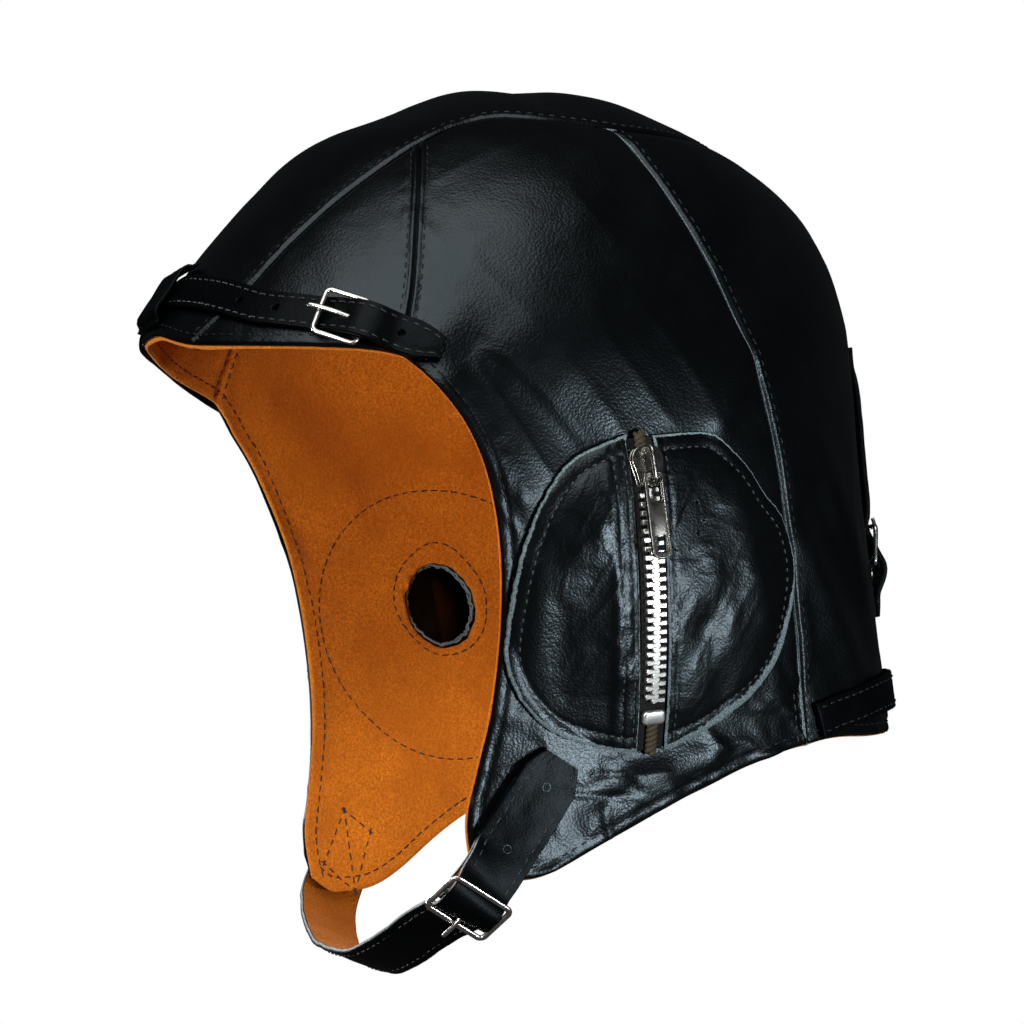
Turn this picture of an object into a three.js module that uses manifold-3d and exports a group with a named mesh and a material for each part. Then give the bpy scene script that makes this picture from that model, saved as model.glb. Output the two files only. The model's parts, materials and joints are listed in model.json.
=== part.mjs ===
// Leather flying helmet: five-panel crown with ear flaps, suede lining, zipped ear patches and buckled straps.
// Millimetres. +Z up, the front faces -Y, the wearer's left is +X.
// The origin is the inner face of the lining at the top of the crown, where the head bears.

import * as THREE from "three";
import { mergeVertices } from "three/addons/utils/BufferGeometryUtils.js";
import Module from "manifold-3d";

const wasm = await Module();
wasm.setup();

// Shell size: widest width, reach to the front and back from the crown's top, and drop to the flap tips
const shellWidth = 159.4;
const shellFront = 105;
const shellBack = 107.5;
const shellDrop = 222;

// Layers and clearances
const leatherThick = 1.4;
const liningThick = 1;
const layerGap = 0.3;
const seamInset = 0.22;
const strapRest = 0.4;
const crownTop = leatherThick + layerGap + liningThick;

// Straps and holders
const strapThick = 1.5;
const holderThick = 1;
const browWidth = 10.5;
const chinWidth = 17;
const goggleWidth = 11;
const napeWidth = 10;
const strapStep = 8;
const shortSpan = 1.5;

// Ear patch, ear hole and zip
const patchWidth = 88;
const patchHeight = 86;
const patchThick = 1.2;
const patchBulge = 6.5;
const earHoleWidth = 20.5;
const earHoleHeight = 23;
const zipSlotWidth = 8.4;
const toothPitch = 2.36;
const toothWidth = 6;

// Horizontal sections of the shell from the crown's top down. drop is a share of shellDrop, width of
// half of shellWidth, front of shellFront and back of shellBack; square is the section's exponent.
const profile = [
  { drop: 0, width: 0, front: 0, back: 0, square: 2 },
  { drop: 0.01, width: 0.226, front: 0.162, back: 0.242, square: 2 },
  { drop: 0.038, width: 0.445, front: 0.314, back: 0.437, square: 2 },
  { drop: 0.081, width: 0.627, front: 0.514, back: 0.633, square: 2 },
  { drop: 0.14, width: 0.772, front: 0.657, back: 0.8, square: 2 },
  { drop: 0.212, width: 0.885, front: 0.795, back: 0.902, square: 2 },
  { drop: 0.291, width: 0.96, front: 0.914, back: 0.946, square: 2 },
  { drop: 0.378, width: 1, front: 1.018, back: 0.96, square: 2.05 },
  { drop: 0.482, width: 0.985, front: 0.981, back: 0.972, square: 2.15 },
  { drop: 0.586, width: 0.928, front: 0.905, back: 0.996, square: 2.3 },
  { drop: 0.685, width: 0.866, front: 0.819, back: 1.02, square: 2.5 },
  { drop: 0.788, width: 0.803, front: 0.762, back: 1.058, square: 2.6 },
  { drop: 0.892, width: 0.753, front: 0.743, back: 1.107, square: 2.6 },
  { drop: 1, width: 0.721, front: 0.743, back: 1.144, square: 2.6 },
];

// Seams and edges of the left half as [turn, row]: turn in degrees from the front centre towards the
// wearer's left and round to the back, row counted down the profile
const bandSeam = [
  [12, 6.7], [18.5, 5.86], [24.5, 4.96], [34, 3.95], [43, 3.25], [52, 2.75], [64, 2.5], [84, 2.58],
  [107.5, 2.72], [127, 2.73], [146, 2.7], [164, 2.83], [180, 2.95],
];
const bandTempleEnd = 4;
const bandSideEnd = 8;
const templeSeam = [[43, 3.25], [47, 4.2], [48.8, 5.1], [49.6, 6.05], [49, 6.98]];
const browEdge = [[0, 6.55], [12, 6.7], [24, 6.78], [36, 6.84], [49, 6.98]];
const cheekEdge = [
  [49, 6.98], [55, 7.36], [60.5, 7.85], [64, 8.42], [66, 9.08], [66.5, 9.8], [65.8, 10.5], [64, 11.18],
  [61, 11.8], [58.6, 12.35], [59.6, 12.84],
];
const flapEdge = [
  [59.6, 12.84], [66, 13], [76, 12.96], [86, 12.78], [97, 12.52], [108, 12.25], [120, 11.94], [131, 11.62],
  [141, 11.38],
];
const rearSeam = [
  [107.5, 2.72], [109.5, 3.7], [112, 4.65], [115.5, 5.6], [120, 6.6], [125.5, 7.65], [130.5, 8.7],
  [134.5, 9.75], [138.3, 10.7], [141, 11.38],
];
const napeEdge = [[141, 11.38], [153, 11.22], [162.5, 11.13], [171, 11.06], [180, 11.03]];

// Soft folds and hollows of the leather, the same on both sides: ends as [turn, row], half width and
// height in mm, a hollow being negative
const folds = [
  { from: [90, 0.2], to: [90, 1.9], width: 7, height: -1 },
  { from: [176, 1.1], to: [128, 1.7], width: 13, height: 1 },
  { from: [56, 7.35], to: [70, 8.6], width: 5, height: 1.1 },
  { from: [62, 6.9], to: [80, 8], width: 8, height: -1.6 },
  { from: [119, 6.8], to: [112, 7.6], width: 6, height: 1.2 },
  { from: [104, 11.8], to: [121, 11.55], width: 4.5, height: 1.3 },
  { from: [92, 12.3], to: [112, 11.95], width: 5, height: 1 },
  { from: [139, 7.9], to: [153, 9.3], width: 7, height: 1.2 },
  { from: [139, 8.5], to: [152, 9.9], width: 7, height: -1.5 },
  { from: [136, 9], to: [150, 10.45], width: 6, height: 1.3 },
];
const seamSink = 0.7;
const seamSoftness = 3;

// Where the edge as worn sits higher than its mirror image: the brow right of the centre and the rear of
// the right flap. Turn and row of the middle, its reach both ways and the lift in rows.
const edgeLifts = [
  { turn: -20, row: 6.6, turnReach: 19, rowReach: 1.2, rows: 0.31 },
  { turn: -108, row: 12.2, turnReach: 22, rowReach: 1.4, rows: 0.26 },
];

// The patch's centre as a share of shellFront rearward and of shellDrop down. From there, as shares of half the
// patch's width (rearward) and height (up): the ear hole's centre and the zip's ends.
const patchCentre = { y: 0.1429 * shellFront, z: -0.6378 * shellDrop };
const patchSpot = ([rearward, up]) => ({
  y: patchCentre.y + (rearward * patchWidth) / 2,
  z: patchCentre.z + (up * patchHeight) / 2,
});
const earHoleCentre = patchSpot([-0.0068, 0.1302]);
const zipTop = patchSpot([-0.2364, 0.9558]);
const zipFoot = patchSpot([0.0273, -0.986]);

// Outline of the ear patch from its centre, as shares of half its width (rearward) and height (up)
const patchFrontRim = [
  [-0.33, 0.95], [-0.62, 0.81], [-0.8, 0.6], [-0.92, 0.28], [-0.975, -0.05], [-0.98, -0.4], [-0.9, -0.62],
  [-0.73, -0.82], [-0.5, -0.93], [-0.22, -0.99],
];
const patchRearRim = [
  [0.23, 1], [0.41, 0.93], [0.57, 0.81], [0.71, 0.65], [0.87, 0.5], [0.97, 0.3], [1, 0.1], [0.96, -0.14],
  [0.9, -0.35], [0.76, -0.56], [0.56, -0.73], [0.38, -0.85], [0.22, -0.93],
];
const patchFolds = [
  { from: [-0.5, 0.6], to: [-0.25, -0.5], width: 5, height: 1.2 },
  { from: [-0.72, 0.2], to: [-0.6, -0.6], width: 5, height: -1 },
  { from: [0.45, 0.6], to: [0.7, -0.1], width: 5, height: 1.1 },
  { from: [0.3, -0.2], to: [0.5, -0.65], width: 5, height: -1 },
];
const earHoleRim = [[1, 0], [0.72, 0.62], [0.1, 1], [-0.6, 0.8], [-1, 0.1], [-0.78, -0.6], [-0.05, -1], [0.7, -0.72]];

const leather = () => new THREE.MeshStandardMaterial({ color: 0x17191c, roughness: 0.42, metalness: 0 });
const suede = () => new THREE.MeshStandardMaterial({ color: 0xc96a1c, roughness: 0.95, metalness: 0 });
const tape = () => new THREE.MeshStandardMaterial({ color: 0x1b1a19, roughness: 0.9, metalness: 0 });
const nickel = () => new THREE.MeshStandardMaterial({ color: 0xb9bbbd, roughness: 0.25, metalness: 1 });

const helmet = new THREE.Group();

function addPiece(name, geometry, material) {
  const mesh = new THREE.Mesh(geometry, material);
  mesh.name = name;
  helmet.add(mesh);
}

// The shell's outer face

function throughRows(before, from, to, after, t) {
  const bend = 2 * before - 5 * from + 4 * to - after;
  const twist = after - before + 3 * (from - to);
  return 0.5 * (2 * from + (to - before) * t + bend * t * t + twist * t * t * t);
}

function sectionAt(row) {
  const last = profile.length - 1;
  const index = THREE.MathUtils.clamp(Math.floor(row), 0, last - 1);
  const rowValue = (step, key) => {
    const place = index + step;
    if (place < 0) return key === "drop" || key === "square" ? profile[1][key] : -profile[1][key];
    if (place > last) return 2 * profile[last][key] - profile[last - 1][key];
    return profile[place][key];
  };
  const value = (key) => throughRows(...[-1, 0, 1, 2].map((step) => rowValue(step, key)), row - index);
  return {
    drop: value("drop") * shellDrop,
    width: (value("width") * shellWidth) / 2,
    front: value("front") * shellFront,
    back: value("back") * shellBack,
    square: value("square"),
  };
}

// A place on the shell is a Vector2 whose length is the row and whose direction is the turn, so the
// crown's top is no special case
function place(turn, row) {
  const angle = THREE.MathUtils.degToRad(turn);
  return new THREE.Vector2(row * Math.sin(angle), -row * Math.cos(angle));
}

function shellPoint(spot) {
  const section = sectionAt(spot.length());
  const turn = Math.atan2(spot.x, -spot.y);
  const side = Math.sin(turn);
  const ahead = Math.cos(turn);
  if (section.width < 1e-9) return new THREE.Vector3(0, 0, crownTop - section.drop);
  const reach = ahead > 0 ? section.front : section.back;
  const spread = Math.abs(side / section.width) ** section.square + Math.abs(ahead / reach) ** section.square;
  const radius = spread ** (-1 / section.square);
  return new THREE.Vector3(radius * side, -radius * ahead, crownTop - section.drop);
}

function shellNormal(spot) {
  const step = 0.02;
  const shifted = (dx, dy) => shellPoint(new THREE.Vector2(spot.x + dx, spot.y + dy));
  const across = shifted(step, 0).sub(shifted(-step, 0));
  const along = shifted(0, step).sub(shifted(0, -step));
  return across.cross(along).normalize();
}

function bisect(low, high, isShort) {
  for (let turn = 0; turn < 40; turn += 1) {
    const middle = (low + high) / 2;
    if (isShort(middle)) low = middle;
    else high = middle;
  }
  return (low + high) / 2;
}

const rowAtHeight = (z) => bisect(0, profile.length, (row) => crownTop - sectionAt(row).drop > z);

// The place at a turn and a share of shellDrop, and the place on one side seen square from that side
const placeAtDrop = ([turn, drop]) => place(turn, rowAtHeight(-drop * shellDrop));

function placeOnSide(side, y, z) {
  const row = rowAtHeight(z);
  const turn = bisect(0, 180, (degrees) => shellPoint(place(degrees, row)).y < y);
  return place(side * turn, row);
}

// Relief of the leather: folds, and seams pulled in

function distanceToLine(point, from, to) {
  const line = new THREE.Line3(from, to);
  return line.closestPointToPoint(point, true, new THREE.Vector3()).distanceTo(point);
}

const curveOf = (table) => new THREE.SplineCurve(table.map(([turn, row]) => place(turn, row)));

const seamLines = [bandSeam, templeSeam, rearSeam].map((table) =>
  curveOf(table).getPoints(3 * table.length).map(shellPoint),
);
const foldLines = folds.map((fold) => ({
  ...fold,
  from: shellPoint(place(...fold.from)),
  to: shellPoint(place(...fold.to)),
}));

function foldHeight(point) {
  const mirrored = new THREE.Vector3(Math.abs(point.x), point.y, point.z);
  return foldLines.reduce((height, fold) => {
    const near = distanceToLine(mirrored, fold.from, fold.to) / fold.width;
    return height + fold.height * Math.exp(-(near ** 2));
  }, 0);
}

function seamDepth(point) {
  const mirrored = new THREE.Vector3(Math.abs(point.x), point.y, point.z);
  let nearest = Infinity;
  for (const line of seamLines) {
    for (let index = 1; index < line.length; index += 1) {
      nearest = Math.min(nearest, distanceToLine(mirrored, line[index - 1], line[index]));
    }
  }
  return seamSink * Math.exp(-((nearest / seamSoftness) ** 2));
}

function asWorn(spot) {
  const turn = THREE.MathUtils.radToDeg(Math.atan2(spot.x, -spot.y));
  let row = spot.length();
  for (const lift of edgeLifts) {
    const aside = (turn - lift.turn) / lift.turnReach;
    const away = (spot.length() - lift.row) / lift.rowReach;
    row -= lift.rows * Math.exp(-(aside ** 2) - away ** 2);
  }
  return spot.clone().setLength(Math.max(row, 1e-6));
}

// The shell at a place: foot on the leather's outer face, and the way out. What lies over the panels
// bridges their seams.
function shellAt(spot, bridged = false) {
  const out = shellNormal(spot);
  const base = shellPoint(spot);
  const height = foldHeight(base) - (bridged ? 0 : seamDepth(base));
  return { foot: base.clone().addScaledVector(out, height), out };
}

// Sheets that lie on the shell

// A sheet is a flat net of places and triangles, with shared places held once
function sheetOf(rows) {
  const places = [];
  const numbers = new Map();
  const numberOf = (spot) => {
    const key = `${spot.x.toFixed(4)},${spot.y.toFixed(4)}`;
    if (!numbers.has(key)) {
      numbers.set(key, places.length);
      places.push(spot);
    }
    return numbers.get(key);
  };
  const net = rows.map((row) => row.map(numberOf));
  const faces = [];
  const addFace = (a, b, c) => {
    if (a === b || b === c || a === c) return;
    const turnOf = places[b].clone().sub(places[a]).cross(places[c].clone().sub(places[a]));
    faces.push(turnOf > 0 ? [a, b, c] : [a, c, b]);
  };
  for (let i = 1; i < net.length; i += 1) {
    for (let j = 1; j < net[i].length; j += 1) {
      addFace(net[i - 1][j - 1], net[i][j - 1], net[i][j]);
      addFace(net[i - 1][j - 1], net[i][j], net[i - 1][j]);
    }
  }
  return { places, faces };
}

function joinSheets(sheets) {
  const places = [];
  const numbers = new Map();
  const faces = [];
  for (const sheet of sheets) {
    const renumbered = sheet.places.map((spot) => {
      const key = `${spot.x.toFixed(3)},${spot.y.toFixed(3)}`;
      if (!numbers.has(key)) {
        numbers.set(key, places.length);
        places.push(spot);
      }
      return numbers.get(key);
    });
    for (const face of sheet.faces) faces.push(face.map((number) => renumbered[number]));
  }
  return { places, faces };
}

const mirrorSheet = (sheet) => ({
  places: sheet.places.map((spot) => new THREE.Vector2(-spot.x, spot.y)),
  faces: sheet.faces.map(([a, b, c]) => [a, c, b]),
});

function rimEdges(faces) {
  const edges = new Map();
  for (const [a, b, c] of faces) {
    for (const [from, to, opposite] of [[a, b, c], [b, c, a], [c, a, b]]) {
      if (edges.has(`${to},${from}`)) edges.delete(`${to},${from}`);
      else edges.set(`${from},${to}`, { from, to, opposite });
    }
  }
  return [...edges.values()];
}

// A wall of leather or suede between two heights above the outer face, drawn in a little at its rim
function wallOf(sheet, bottom, top, inset, lift = () => 0) {
  const stations = sheet.places.map((spot) => {
    const station = shellAt(spot);
    station.foot.addScaledVector(station.out, lift(station.foot));
    return station;
  });
  const rim = rimEdges(sheet.faces);
  const pulls = sheet.places.map(() => new THREE.Vector3());
  for (const { from, to, opposite } of rim) {
    const edge = stations[to].foot.clone().sub(stations[from].foot).normalize();
    const inward = stations[opposite].foot.clone().sub(stations[from].foot);
    inward.addScaledVector(edge, -inward.dot(edge)).normalize();
    pulls[from].add(inward);
    pulls[to].add(inward);
  }
  const count = stations.length;
  const positions = [];
  for (const height of [top, bottom]) {
    stations.forEach(({ foot, out }, number) => {
      const pull = pulls[number];
      const reach = pull.lengthSq() > 1e-6 ? (2 * inset) / pull.lengthSq() : 0;
      const corner = foot.clone().addScaledVector(out, height).addScaledVector(pull, Math.min(reach, inset));
      positions.push(...corner.toArray());
    });
  }
  const triangles = [];
  for (const [a, b, c] of sheet.faces) triangles.push(a, b, c, count + a, count + c, count + b);
  for (const { from, to } of rim) triangles.push(from, count + from, count + to, from, count + to, to);
  return solidOf(positions, triangles);
}

function solidOf(positions, triangles) {
  const geometry = new THREE.BufferGeometry();
  geometry.setAttribute("position", new THREE.Float32BufferAttribute(positions, 3));
  geometry.setIndex(triangles);
  return geometry;
}

// Panel nets

const mirrorSpot = (spot) => new THREE.Vector2(-spot.x, spot.y);

// Places along a stretch of a seam table, between two of its points
function stretch(table, first, last, count) {
  const curve = curveOf(table);
  const share = (index) => index / (table.length - 1);
  return Array.from({ length: count + 1 }, (_, step) =>
    curve.getPoint(THREE.MathUtils.lerp(share(first), share(last), step / count)),
  );
}

// A net between four edges that meet at their corners
function fourSided(left, right, top, bottom) {
  const rows = left.length - 1;
  const columns = top.length - 1;
  return left.map((_, i) => {
    const down = i / rows;
    return top.map((_, j) => {
      const over = j / columns;
      const ruled = left[i].clone().lerp(right[i], over);
      const sunk = top[j].clone().lerp(bottom[j], down);
      const corners = top[0].clone().lerp(top[columns], over).lerp(bottom[0].clone().lerp(bottom[columns], over), down);
      return ruled.add(sunk).sub(corners);
    });
  });
}

const templeRows = 6;
const cheekRows = 9;
const sideColumns = 7;
const templeColumns = 5;
const bandColumns = 6;
const backColumns = 5;

const seamAtTemple = stretch(bandSeam, 0, bandTempleEnd, templeRows);
const seamAtSide = stretch(bandSeam, bandTempleEnd, bandSideEnd, sideColumns);
const seamAtBack = stretch(bandSeam, bandSideEnd, bandSeam.length - 1, backColumns);
const templeLine = stretch(templeSeam, 0, templeSeam.length - 1, templeRows);
const cheekLine = stretch(cheekEdge, 0, cheekEdge.length - 1, cheekRows);
const rearLine = stretch(rearSeam, 0, rearSeam.length - 1, templeRows + cheekRows);
const flapLine = stretch(flapEdge, 0, flapEdge.length - 1, sideColumns);
const napeLine = stretch(napeEdge, 0, napeEdge.length - 1, backColumns);
const browBand = stretch(browEdge, 0, 1, bandColumns / 2);
const browTemple = stretch(browEdge, 1, browEdge.length - 1, templeColumns);

function bandSheet() {
  const leftSeam = [...seamAtTemple, ...seamAtSide.slice(1), ...seamAtBack.slice(1)];
  const rows = leftSeam.map((spot) =>
    Array.from({ length: bandColumns + 1 }, (_, step) => spot.clone().lerp(mirrorSpot(spot), step / bandColumns)),
  );
  rows[0] = [...browBand.slice().reverse(), ...browBand.slice(1).map(mirrorSpot)];
  return sheetOf(rows);
}

function templeSheet() {
  const apex = Array.from({ length: templeColumns + 1 }, () => templeLine[0]);
  return sheetOf(fourSided(seamAtTemple.slice().reverse(), templeLine, apex, browTemple));
}

function sideSheet() {
  return sheetOf(fourSided([...templeLine, ...cheekLine.slice(1)], rearLine, seamAtSide, flapLine));
}

function backSheet() {
  const wholeWay = (line) => [...line, ...line.slice(0, -1).reverse().map(mirrorSpot)];
  return sheetOf(fourSided(rearLine, rearLine.map(mirrorSpot), wholeWay(seamAtBack), wholeWay(napeLine)));
}

// Cuts and joins

function manifoldOf(geometry) {
  const bare = new THREE.BufferGeometry();
  bare.setAttribute("position", geometry.getAttribute("position"));
  bare.setIndex(geometry.getIndex());
  const merged = mergeVertices(bare, 1e-4);
  const vertProperties = new Float32Array(merged.getAttribute("position").array);
  const triVerts = new Uint32Array(merged.getIndex().array);
  return new wasm.Manifold(new wasm.Mesh({ numProp: 3, vertProperties, triVerts }));
}

function geometryOf(solid) {
  const mesh = solid.getMesh();
  return solidOf(Array.from(mesh.vertProperties), Array.from(mesh.triVerts));
}

const cut = (geometry, ...tools) =>
  geometryOf(tools.reduce((solid, tool) => solid.subtract(manifoldOf(tool)), manifoldOf(geometry)));
const join = (...pieces) => geometryOf(pieces.map(manifoldOf).reduce((solid, piece) => solid.add(piece)));

// Routes: where a strap or a zip runs. A station holds a foot point, the way along, out and across.

function routeOf(samples) {
  const lengths = [0];
  for (let index = 1; index < samples.length; index += 1) {
    lengths.push(lengths[index - 1] + samples[index].foot.distanceTo(samples[index - 1].foot));
  }
  const length = lengths[lengths.length - 1];
  const blend = (distance) => {
    let index = 1;
    while (index < samples.length - 1 && lengths[index] < distance) index += 1;
    const share = (distance - lengths[index - 1]) / (lengths[index] - lengths[index - 1]);
    return {
      foot: samples[index - 1].foot.clone().lerp(samples[index].foot, share),
      out: samples[index - 1].out.clone().lerp(samples[index].out, share),
    };
  };
  const at = (distance) => {
    const station = blend(distance);
    const along = blend(distance + 1).foot.sub(blend(distance - 1).foot).normalize();
    const out = station.out.addScaledVector(along, -station.out.dot(along)).normalize();
    return { foot: station.foot, along, out, across: along.clone().cross(out) };
  };
  return { length, at };
}

// A route on the shell through a few places, and one through stations in space
function shellRoute(spots, steps = 60) {
  return routeOf(new THREE.SplineCurve(spots).getPoints(steps).map((spot) => shellAt(spot, true)));
}

function freeRoute(stations, steps = 90) {
  const feet = new THREE.CatmullRomCurve3(stations.map((station) => station.foot), false, "centripetal");
  const ways = new THREE.CatmullRomCurve3(stations.map((station) => station.out), false, "catmullrom");
  const samples = [];
  for (let step = 0; step <= steps; step += 1) {
    samples.push({ foot: feet.getPoint(step / steps), out: ways.getPoint(step / steps) });
  }
  return routeOf(samples);
}

// The point of a station that lies some way along, across and out from its foot
function beside(station, along, across, out) {
  return station.foot
    .clone()
    .addScaledVector(station.along, along)
    .addScaledVector(station.across, across)
    .addScaledVector(station.out, out);
}

// Solid through rings of points, each ring turning the same way, with flat ends or closed on itself
function throughRings(rings, closed = false) {
  const sides = rings[0].length;
  const positions = rings.flat().flatMap((point) => point.toArray());
  const triangles = [];
  const stretches = closed ? rings.length : rings.length - 1;
  for (let i = 0; i < stretches; i += 1) {
    const next = (i + 1) % rings.length;
    for (let j = 0; j < sides; j += 1) {
      const beyond = (j + 1) % sides;
      triangles.push(i * sides + j, next * sides + j, next * sides + beyond);
      triangles.push(i * sides + j, next * sides + beyond, i * sides + beyond);
    }
  }
  if (!closed) {
    const end = (rings.length - 1) * sides;
    for (let j = 2; j < sides; j += 1) triangles.push(0, j - 1, j, end, end + j, end + j - 1);
  }
  return facingOut(solidOf(positions, triangles));
}

function facingOut(geometry) {
  const points = geometry.getAttribute("position");
  const order = Array.from(geometry.getIndex().array);
  const corner = (number) => new THREE.Vector3().fromBufferAttribute(points, number);
  let volume = 0;
  for (let index = 0; index < order.length; index += 3) {
    volume += corner(order[index]).dot(corner(order[index + 1]).cross(corner(order[index + 2])));
  }
  if (volume < 0) geometry.setIndex(order.reverse());
  return geometry;
}

// Stations along a line through points: one to a short span, two to a longer one, or one every strapStep
function sharesAlong(line) {
  const spans = line.points.length - 1;
  const shares = [];
  for (let span = 0; span < spans; span += 1) {
    const length = line.points[span].distanceTo(line.points[span + 1]);
    const count = Math.max(length < shortSpan ? 1 : 2, Math.ceil(length / strapStep));
    for (let step = 0; step < count; step += 1) shares.push((span + step / count) / spans);
  }
  return [...shares, 1];
}

// A flat strap whose middle runs through [distance, height] points over a route
function strapOver(route, middle, width, thick) {
  const line = new THREE.SplineCurve(middle.map(([distance, height]) => new THREE.Vector2(distance, height)));
  const widthAt = typeof width === "function" ? width : () => width;
  const rings = sharesAlong(line).map((share) => {
    const spot = line.getPoint(share);
    const way = line.getTangent(share);
    const station = route.at(spot.x);
    const half = widthAt(spot.x) / 2;
    const corner = (side, face) =>
      beside(station, (-way.y * face * thick) / 2, side * half, spot.y + (way.x * face * thick) / 2);
    return [corner(-1, -1), corner(1, -1), corner(1, 1), corner(-1, 1)];
  });
  return throughRings(rings);
}

// A round wire through points given along, across and out from a station
function wireThrough(station, points, radius, closed, facing = station.out) {
  const sides = 6;
  const path = points.map(([along, across, out]) => beside(station, along, across, out));
  const rings = path.map((point, index) => {
    const before = closed ? path[(index + path.length - 1) % path.length] : path[Math.max(index - 1, 0)];
    const after = closed ? path[(index + 1) % path.length] : path[Math.min(index + 1, path.length - 1)];
    const way = after.clone().sub(before).normalize();
    const side = way.clone().cross(facing).normalize();
    const up = side.clone().cross(way);
    return Array.from({ length: sides }, (_, step) => {
      const angle = (2 * Math.PI * (step + 0.5)) / sides;
      return point
        .clone()
        .addScaledVector(side, radius * Math.cos(angle))
        .addScaledVector(up, radius * Math.sin(angle));
    });
  });
  return throughRings(rings, closed);
}

function boxAt(station, [alongFrom, alongTo], [acrossFrom, acrossTo], [outFrom, outTo]) {
  const ring = (along) => [
    beside(station, along, acrossFrom, outFrom),
    beside(station, along, acrossTo, outFrom),
    beside(station, along, acrossTo, outTo),
    beside(station, along, acrossFrom, outTo),
  ];
  return throughRings([ring(alongFrom), ring(alongTo)]);
}

// An outline drawn along and out (or along and across) of a station, given thickness the third way
function plateAt(station, shape, low, high, flat) {
  const geometry = new THREE.ExtrudeGeometry(shape, { depth: high - low, bevelEnabled: false, curveSegments: 8 });
  geometry.translate(0, 0, low);
  const third = flat ? station.out : station.across.clone().negate();
  const second = flat ? station.across.clone().negate() : station.out;
  const frame = new THREE.Matrix4().makeBasis(station.along, second, third).setPosition(station.foot);
  if (flat) frame.makeBasis(station.along, station.out.clone().cross(station.along), station.out).setPosition(station.foot);
  geometry.applyMatrix4(frame);
  geometry.deleteAttribute("normal");
  geometry.deleteAttribute("uv");
  return facingOut(mergeVertices(geometry, 1e-5));
}

// Shell panels and lining

function addPanels() {
  const band = bandSheet();
  const temple = templeSheet();
  const side = sideSheet();
  const back = backSheet();
  const worn = ({ places, faces }) => ({ places: places.map(asWorn), faces });
  const panel = (sheet) => wallOf(worn(sheet), -leatherThick, 0, seamInset);
  addPiece("crown_band", panel(band), leather());
  addPiece("temple_panel_left", panel(temple), leather());
  addPiece("temple_panel_right", panel(mirrorSheet(temple)), leather());
  addPiece("side_panel_left", cut(panel(side), earHoleTool(1, 0)), leather());
  addPiece("side_panel_right", cut(panel(mirrorSheet(side)), earHoleTool(-1, 0)), leather());
  addPiece("back_panel", panel(back), leather());
  const whole = joinSheets([band, temple, mirrorSheet(temple), side, mirrorSheet(side), back]);
  const liningTop = -leatherThick - layerGap;
  const lining = wallOf(worn(whole), liningTop - liningThick, liningTop, 0);
  addPiece("lining", cut(lining, earHoleTool(1, liningHoleGrowth), earHoleTool(-1, liningHoleGrowth)), suede());
}

const liningHoleGrowth = 0.9;

function earHoleTool(side, growth) {
  const rim = new THREE.SplineCurve(
    [...earHoleRim, earHoleRim[0]].map(
      ([rearward, up]) =>
        new THREE.Vector2(rearward * (earHoleWidth / 2 + growth), up * (earHoleHeight / 2 + growth)),
    ),
  ).getPoints(16).slice(0, -1);
  const ring = (x) =>
    rim.map((spot) => new THREE.Vector3(x, earHoleCentre.y + spot.x, earHoleCentre.z + spot.y));
  return throughRings([ring(side * shellWidth * 0.2), ring(side * shellWidth * 0.7)]);
}

// Ear patches

// How far the patch stands off the side panel
function patchLift(y, z) {
  const rearward = (y - patchCentre.y) / (patchWidth / 2);
  const up = (z - patchCentre.z) / (patchHeight / 2);
  const inside = Math.max(0, 1 - rearward ** 2 - up ** 2);
  let lift = patchBulge * inside;
  for (const fold of patchFolds) {
    const from = patchSpot(fold.from);
    const to = patchSpot(fold.to);
    const near = distanceToLine(
      new THREE.Vector3(0, y, z),
      new THREE.Vector3(0, from.y, from.z),
      new THREE.Vector3(0, to.y, to.z),
    );
    lift += fold.height * inside ** 0.5 * Math.exp(-((near / fold.width) ** 2));
  }
  return lift;
}

const zipAcross = (() => {
  const run = new THREE.Vector2(zipFoot.y - zipTop.y, zipFoot.z - zipTop.z).normalize();
  return { y: -run.y, z: run.x };
})();

function zipSpot(share, rearward) {
  return {
    y: THREE.MathUtils.lerp(zipTop.y, zipFoot.y, share) + zipAcross.y * rearward,
    z: THREE.MathUtils.lerp(zipTop.z, zipFoot.z, share) + zipAcross.z * rearward,
  };
}

function addEarPatch(sideName, side) {
  const patchRows = 11;
  const patchColumns = 4;
  const half = (rim, edge) => {
    const ends = [zipSpot(0.005, edge), zipSpot(0.995, edge)];
    const outline = [ends[0], ...rim.map(patchSpot), ends[1]];
    const rimCurve = new THREE.SplineCurve(outline.map(({ y, z }) => new THREE.Vector2(y, z)));
    const rows = [];
    for (let row = 0; row <= patchRows; row += 1) {
      const down = row / patchRows;
      const slot = zipSpot(0.005 + 0.99 * down, edge);
      const outer = rimCurve.getPointAt(down);
      rows.push(
        Array.from({ length: patchColumns + 1 }, (_, column) => {
          const over = column / patchColumns;
          const y = THREE.MathUtils.lerp(slot.y, outer.x, over);
          const z = THREE.MathUtils.lerp(slot.z, outer.y, over);
          return placeOnSide(side, y, z);
        }),
      );
    }
    const lift = (foot) => patchLift(foot.y, foot.z);
    return wallOf(sheetOf(rows), layerGap, layerGap + patchThick, 0, lift);
  };
  addPiece(`ear_patch_front_${sideName}`, half(patchFrontRim, -zipSlotWidth / 2), leather());
  addPiece(`ear_patch_rear_${sideName}`, half(patchRearRim, zipSlotWidth / 2), leather());
}

// Zips

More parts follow.
